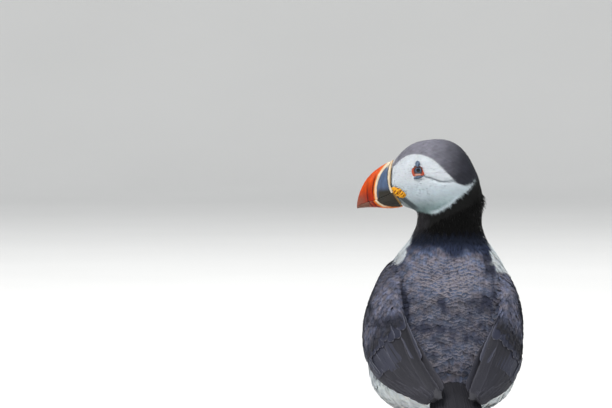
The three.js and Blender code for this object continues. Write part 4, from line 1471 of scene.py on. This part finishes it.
def add_wing_quills(side, letter, face, draw, material):
    """Rows of quills from shoulder to tip, each row rising from below the one before it."""
    quills = Quills(draw)
    share = np.linspace(0, 1, 14)

    def lay(start, end, half, depth, lead, colour, edge, fringe, blunt=0.14, under=False):
        """start and end are places on the wing, depth how far below its surface they lie."""
        run = start[0] + (end[0] - start[0]) * share
        across = start[1] + (end[1] - start[1]) * share
        places, facing = face.surface(run, across, under)
        last = np.flatnonzero(run <= 0.9)[-1]
        ahead = (places[last] - places[last - 2]) / (run[last] - run[last - 2])
        places[last:] = places[last] + np.outer(run[last:] - run[last], ahead)
        facing[last:] = facing[last]
        sunk = depth[0] + (depth[1] - depth[0]) * share ** 0.7
        spine = places - facing * sunk[:, None]
        quills.add(spine, facing, half, lead, colour, edge, fringe, 0.012, blunt)

    for k, part in numbered(10):
        lay((0.42, 0.06 + 0.9 * part), (0.995 - 0.03 * part, 0.15 + 0.75 * part), 4.8,
            (1.9 - 0.08 * k, 0.3 - 0.02 * k), 0.6 * side, PRIMARY, PRIMARY_EDGE, 0.15, 0.1)
    for k, part in numbered(6):
        lay((0.55, 0.1 + 0.8 * part), (0.98 - 0.03 * part, 0.2 + 0.68 * part), 5.2, (0.9, 0.25),
            0.6 * side, PRIMARY * 1.3, PRIMARY_EDGE, 0.1, 0.12, under=True)
    for k, part in numbered(10):
        end = 0.64 + 0.07 * part + 0.012 * draw.normal()
        lay((0.36, 0.05 + 0.90 * part), (end, 0.10 + 0.86 * part), 4.7, (2.2, 0.7 - 0.03 * k),
            0.8 * side, SECONDARY, SECONDARY_EDGE, 0.35)
    for k, part in numbered(10):
        end = 0.52 + 0.03 * part + 0.014 * draw.normal()
        lay((0.3, 0.04 + 0.90 * part), (end, 0.06 + 0.88 * part), 4.4, (2.9, 0.35 - 0.02 * k),
            0.8 * side, WING_DARK, SECONDARY_EDGE, 0.5, 0.2)
    for k in range(5):
        lay((0.14 + 0.04 * k, 0.02 + 0.03 * k), (0.42 + 0.055 * k, 0.0 + 0.045 * k), 1.9,
            (1.0, 0.1), 0.5 * side, WING_DARK, EDGE_PALE, 0.8)
    finish_piece(quills.build(f"wing_{letter}_quills"), material, "wing_feathers")


TAIL_FEATHERS = 16


def add_tail_quills(draw, material):
    """The tail's feathers in one arched layer over another, the outermost lowest."""
    quills = Quills(draw)
    middle = centre("tail")[0]
    root = np.array([middle, TAIL_HIGH[1] + 4, TAIL_HIGH[2] - 4])
    tip = np.array([middle, TAIL_LOW[1] + 1.0, TAIL_LOW[2] + 1.2])
    half = (TAIL_HIGH[0] - TAIL_LOW[0]) / 2
    share = np.linspace(0, 1, 10)[:, None]
    up = unit(np.cross([1, 0, 0], root - tip))
    if up[2] < 0:
        up = -up
    centre_place = (TAIL_FEATHERS - 1) / 2
    order = sorted(range(TAIL_FEATHERS), key=lambda k: -abs(k - centre_place))
    for layer, k in enumerate(order):
        part = (k - centre_place) / centre_place
        start = root + np.array([part * half * 0.5, 0, 0])
        end = tip + np.array([part * half * 0.82, 0, 0]) + (root - tip) * 0.07 * part ** 2
        spine = start * (1 - share) + end * share
        arch = ((spine[:, 0] - middle) ** 2) / 90
        rise = 1.2 * np.sin(share[:, 0] * math.pi) + 0.1 * layer - 0.9
        spine = spine + up * (rise - arch)[:, None]
        facing = unit(up + np.array([part * 0.35, 0, 0]))
        quills.add(spine, np.repeat(facing[None], 10, axis=0), 4.3, 0.6 if part > 0 else -0.6,
                   TAIL_BLACK, TAIL_BLACK * 1.5, 0.2, 0.01, 0.2)
    finish_piece(quills.build("tail_quills"), material, "black_feathers", "tail")


# ---------------------------------------------------------------- putting it together
def add_skin():
    skin = Skin()
    piece = new_piece("skin", skin.points, skin.faces)
    write_colour(piece, "coat", markings(skin.outer, skin.wing, skin.thigh))
    finish_piece(piece, skin_material(), "black_feathers", *FLESH)
    return skin


BELLY_TOP = 95  # the height where breast and belly meet
COVERTS_END = 0.44  # the small coverts' share of the folded wing


def add_coat(skin):
    """The eleven pieces of feathers. Their order is the order of the random draws."""
    coat = Coat(skin, rng)
    height = coat.places[:, 2]
    on_head = head_height(HEAD.local(coat.places)) > HEAD_EDGE
    on_neck = ~on_head & (height > BACK_TOP[2] - 3)
    on_wing = coat.wing != 0
    on_thigh = (coat.thigh > 0.5) & ~on_wing
    rest = ~(on_head | on_neck | on_wing | on_thigh)
    behind = rest & (back_share(coat.places) > 0.5)
    in_front = rest & ~behind
    breast = in_front & (height > BELLY_TOP)
    soft = plumage("soft_feathers", root=0.86, Roughness=0.7, Specular_IOR_Level=0.3, Sheen_Weight=0.05,
                   Sheen_Roughness=0.4)
    fine = plumage("fine_feathers", relief=0.07, root=0.9, Roughness=0.75, Specular_IOR_Level=0.2)
    black = plumage("black_feathers", relief=0.15, root=0.85, Roughness=0.6, Specular_IOR_Level=0.08)
    # scaly feathers: deep painted shade over most of their length, as under the row above, lit only
    # near their ends
    scaly = plumage("scaly_feathers", relief=0.2, rim=(0.85, 0.94), root=0.58, clear=0.95,
                    Roughness=0.65, Specular_IOR_Level=0.3)
    quill = plumage("quill_feathers", fringe=(128, 126, 132), barbs=16.0, relief=0.12, Roughness=0.55,
                    Specular_IOR_Level=0.22)
    small = Vane(3, 2, rounding=0.4, ragged=0.14, parting=0.4, camber=0.12, narrow=0.5, lean=0.08)
    medium = Vane(5, 3, rounding=0.35, ragged=0.1, parting=0.55, camber=0.3)
    fringed = Vane(7, 3, rounding=0.3, ragged=0.05, parting=0.4, camber=0.2, lean=0.2)
    barred = Vane(7, 3, rounding=0.13, ragged=0.03, parting=0.25, camber=0.12, lean=0.12)
    face_cut = {"long": 1.12, "wide": 1.35, "lift": 0.7, "wild": 0.08, "tint": 0.018}
    back_cut = {"wide": 1.5, "tint": 0.1, "uneven": 0.02, "wild": 0.08}
    for name, where, vane, material, slot, cut in (
        ("head", on_head, small, fine, "face_feathers", face_cut),
        ("neck", on_neck, medium, black, "black_feathers", {}),
        ("breast", breast, medium, soft, "white_feathers", {}),
        ("belly", in_front & ~breast, medium, soft, "white_feathers", {}),
        ("thigh", on_thigh, medium, soft, "white_feathers", {"long": 0.95}),
        ("back", behind, barred, scaly, "black_feathers", back_cut),
    ):
        finish_piece(coat.dress(f"{name}_feathers", where, vane, rng, **cut), material, slot)
    for side, letter in ((-1, "l"), (1, "r")):
        face = WingFace(side)
        add_wing_quills(side, letter, face, rng, quill)
        here = (coat.wing == side) & (face.run_of(coat.places) < COVERTS_END)
        piece = coat.dress(f"wing_{letter}_coverts", here, fringed, rng, wide=1.5, tint=0.12,
                           uneven=0.05)
        finish_piece(piece, scaly, "wing_feathers")
    add_tail_quills(rng, quill)


add_camera()
add_light()
add_floor()
skin = add_skin()
add_coat(skin)
add_bill(skin)
add_face_parts(skin)
add_legs()
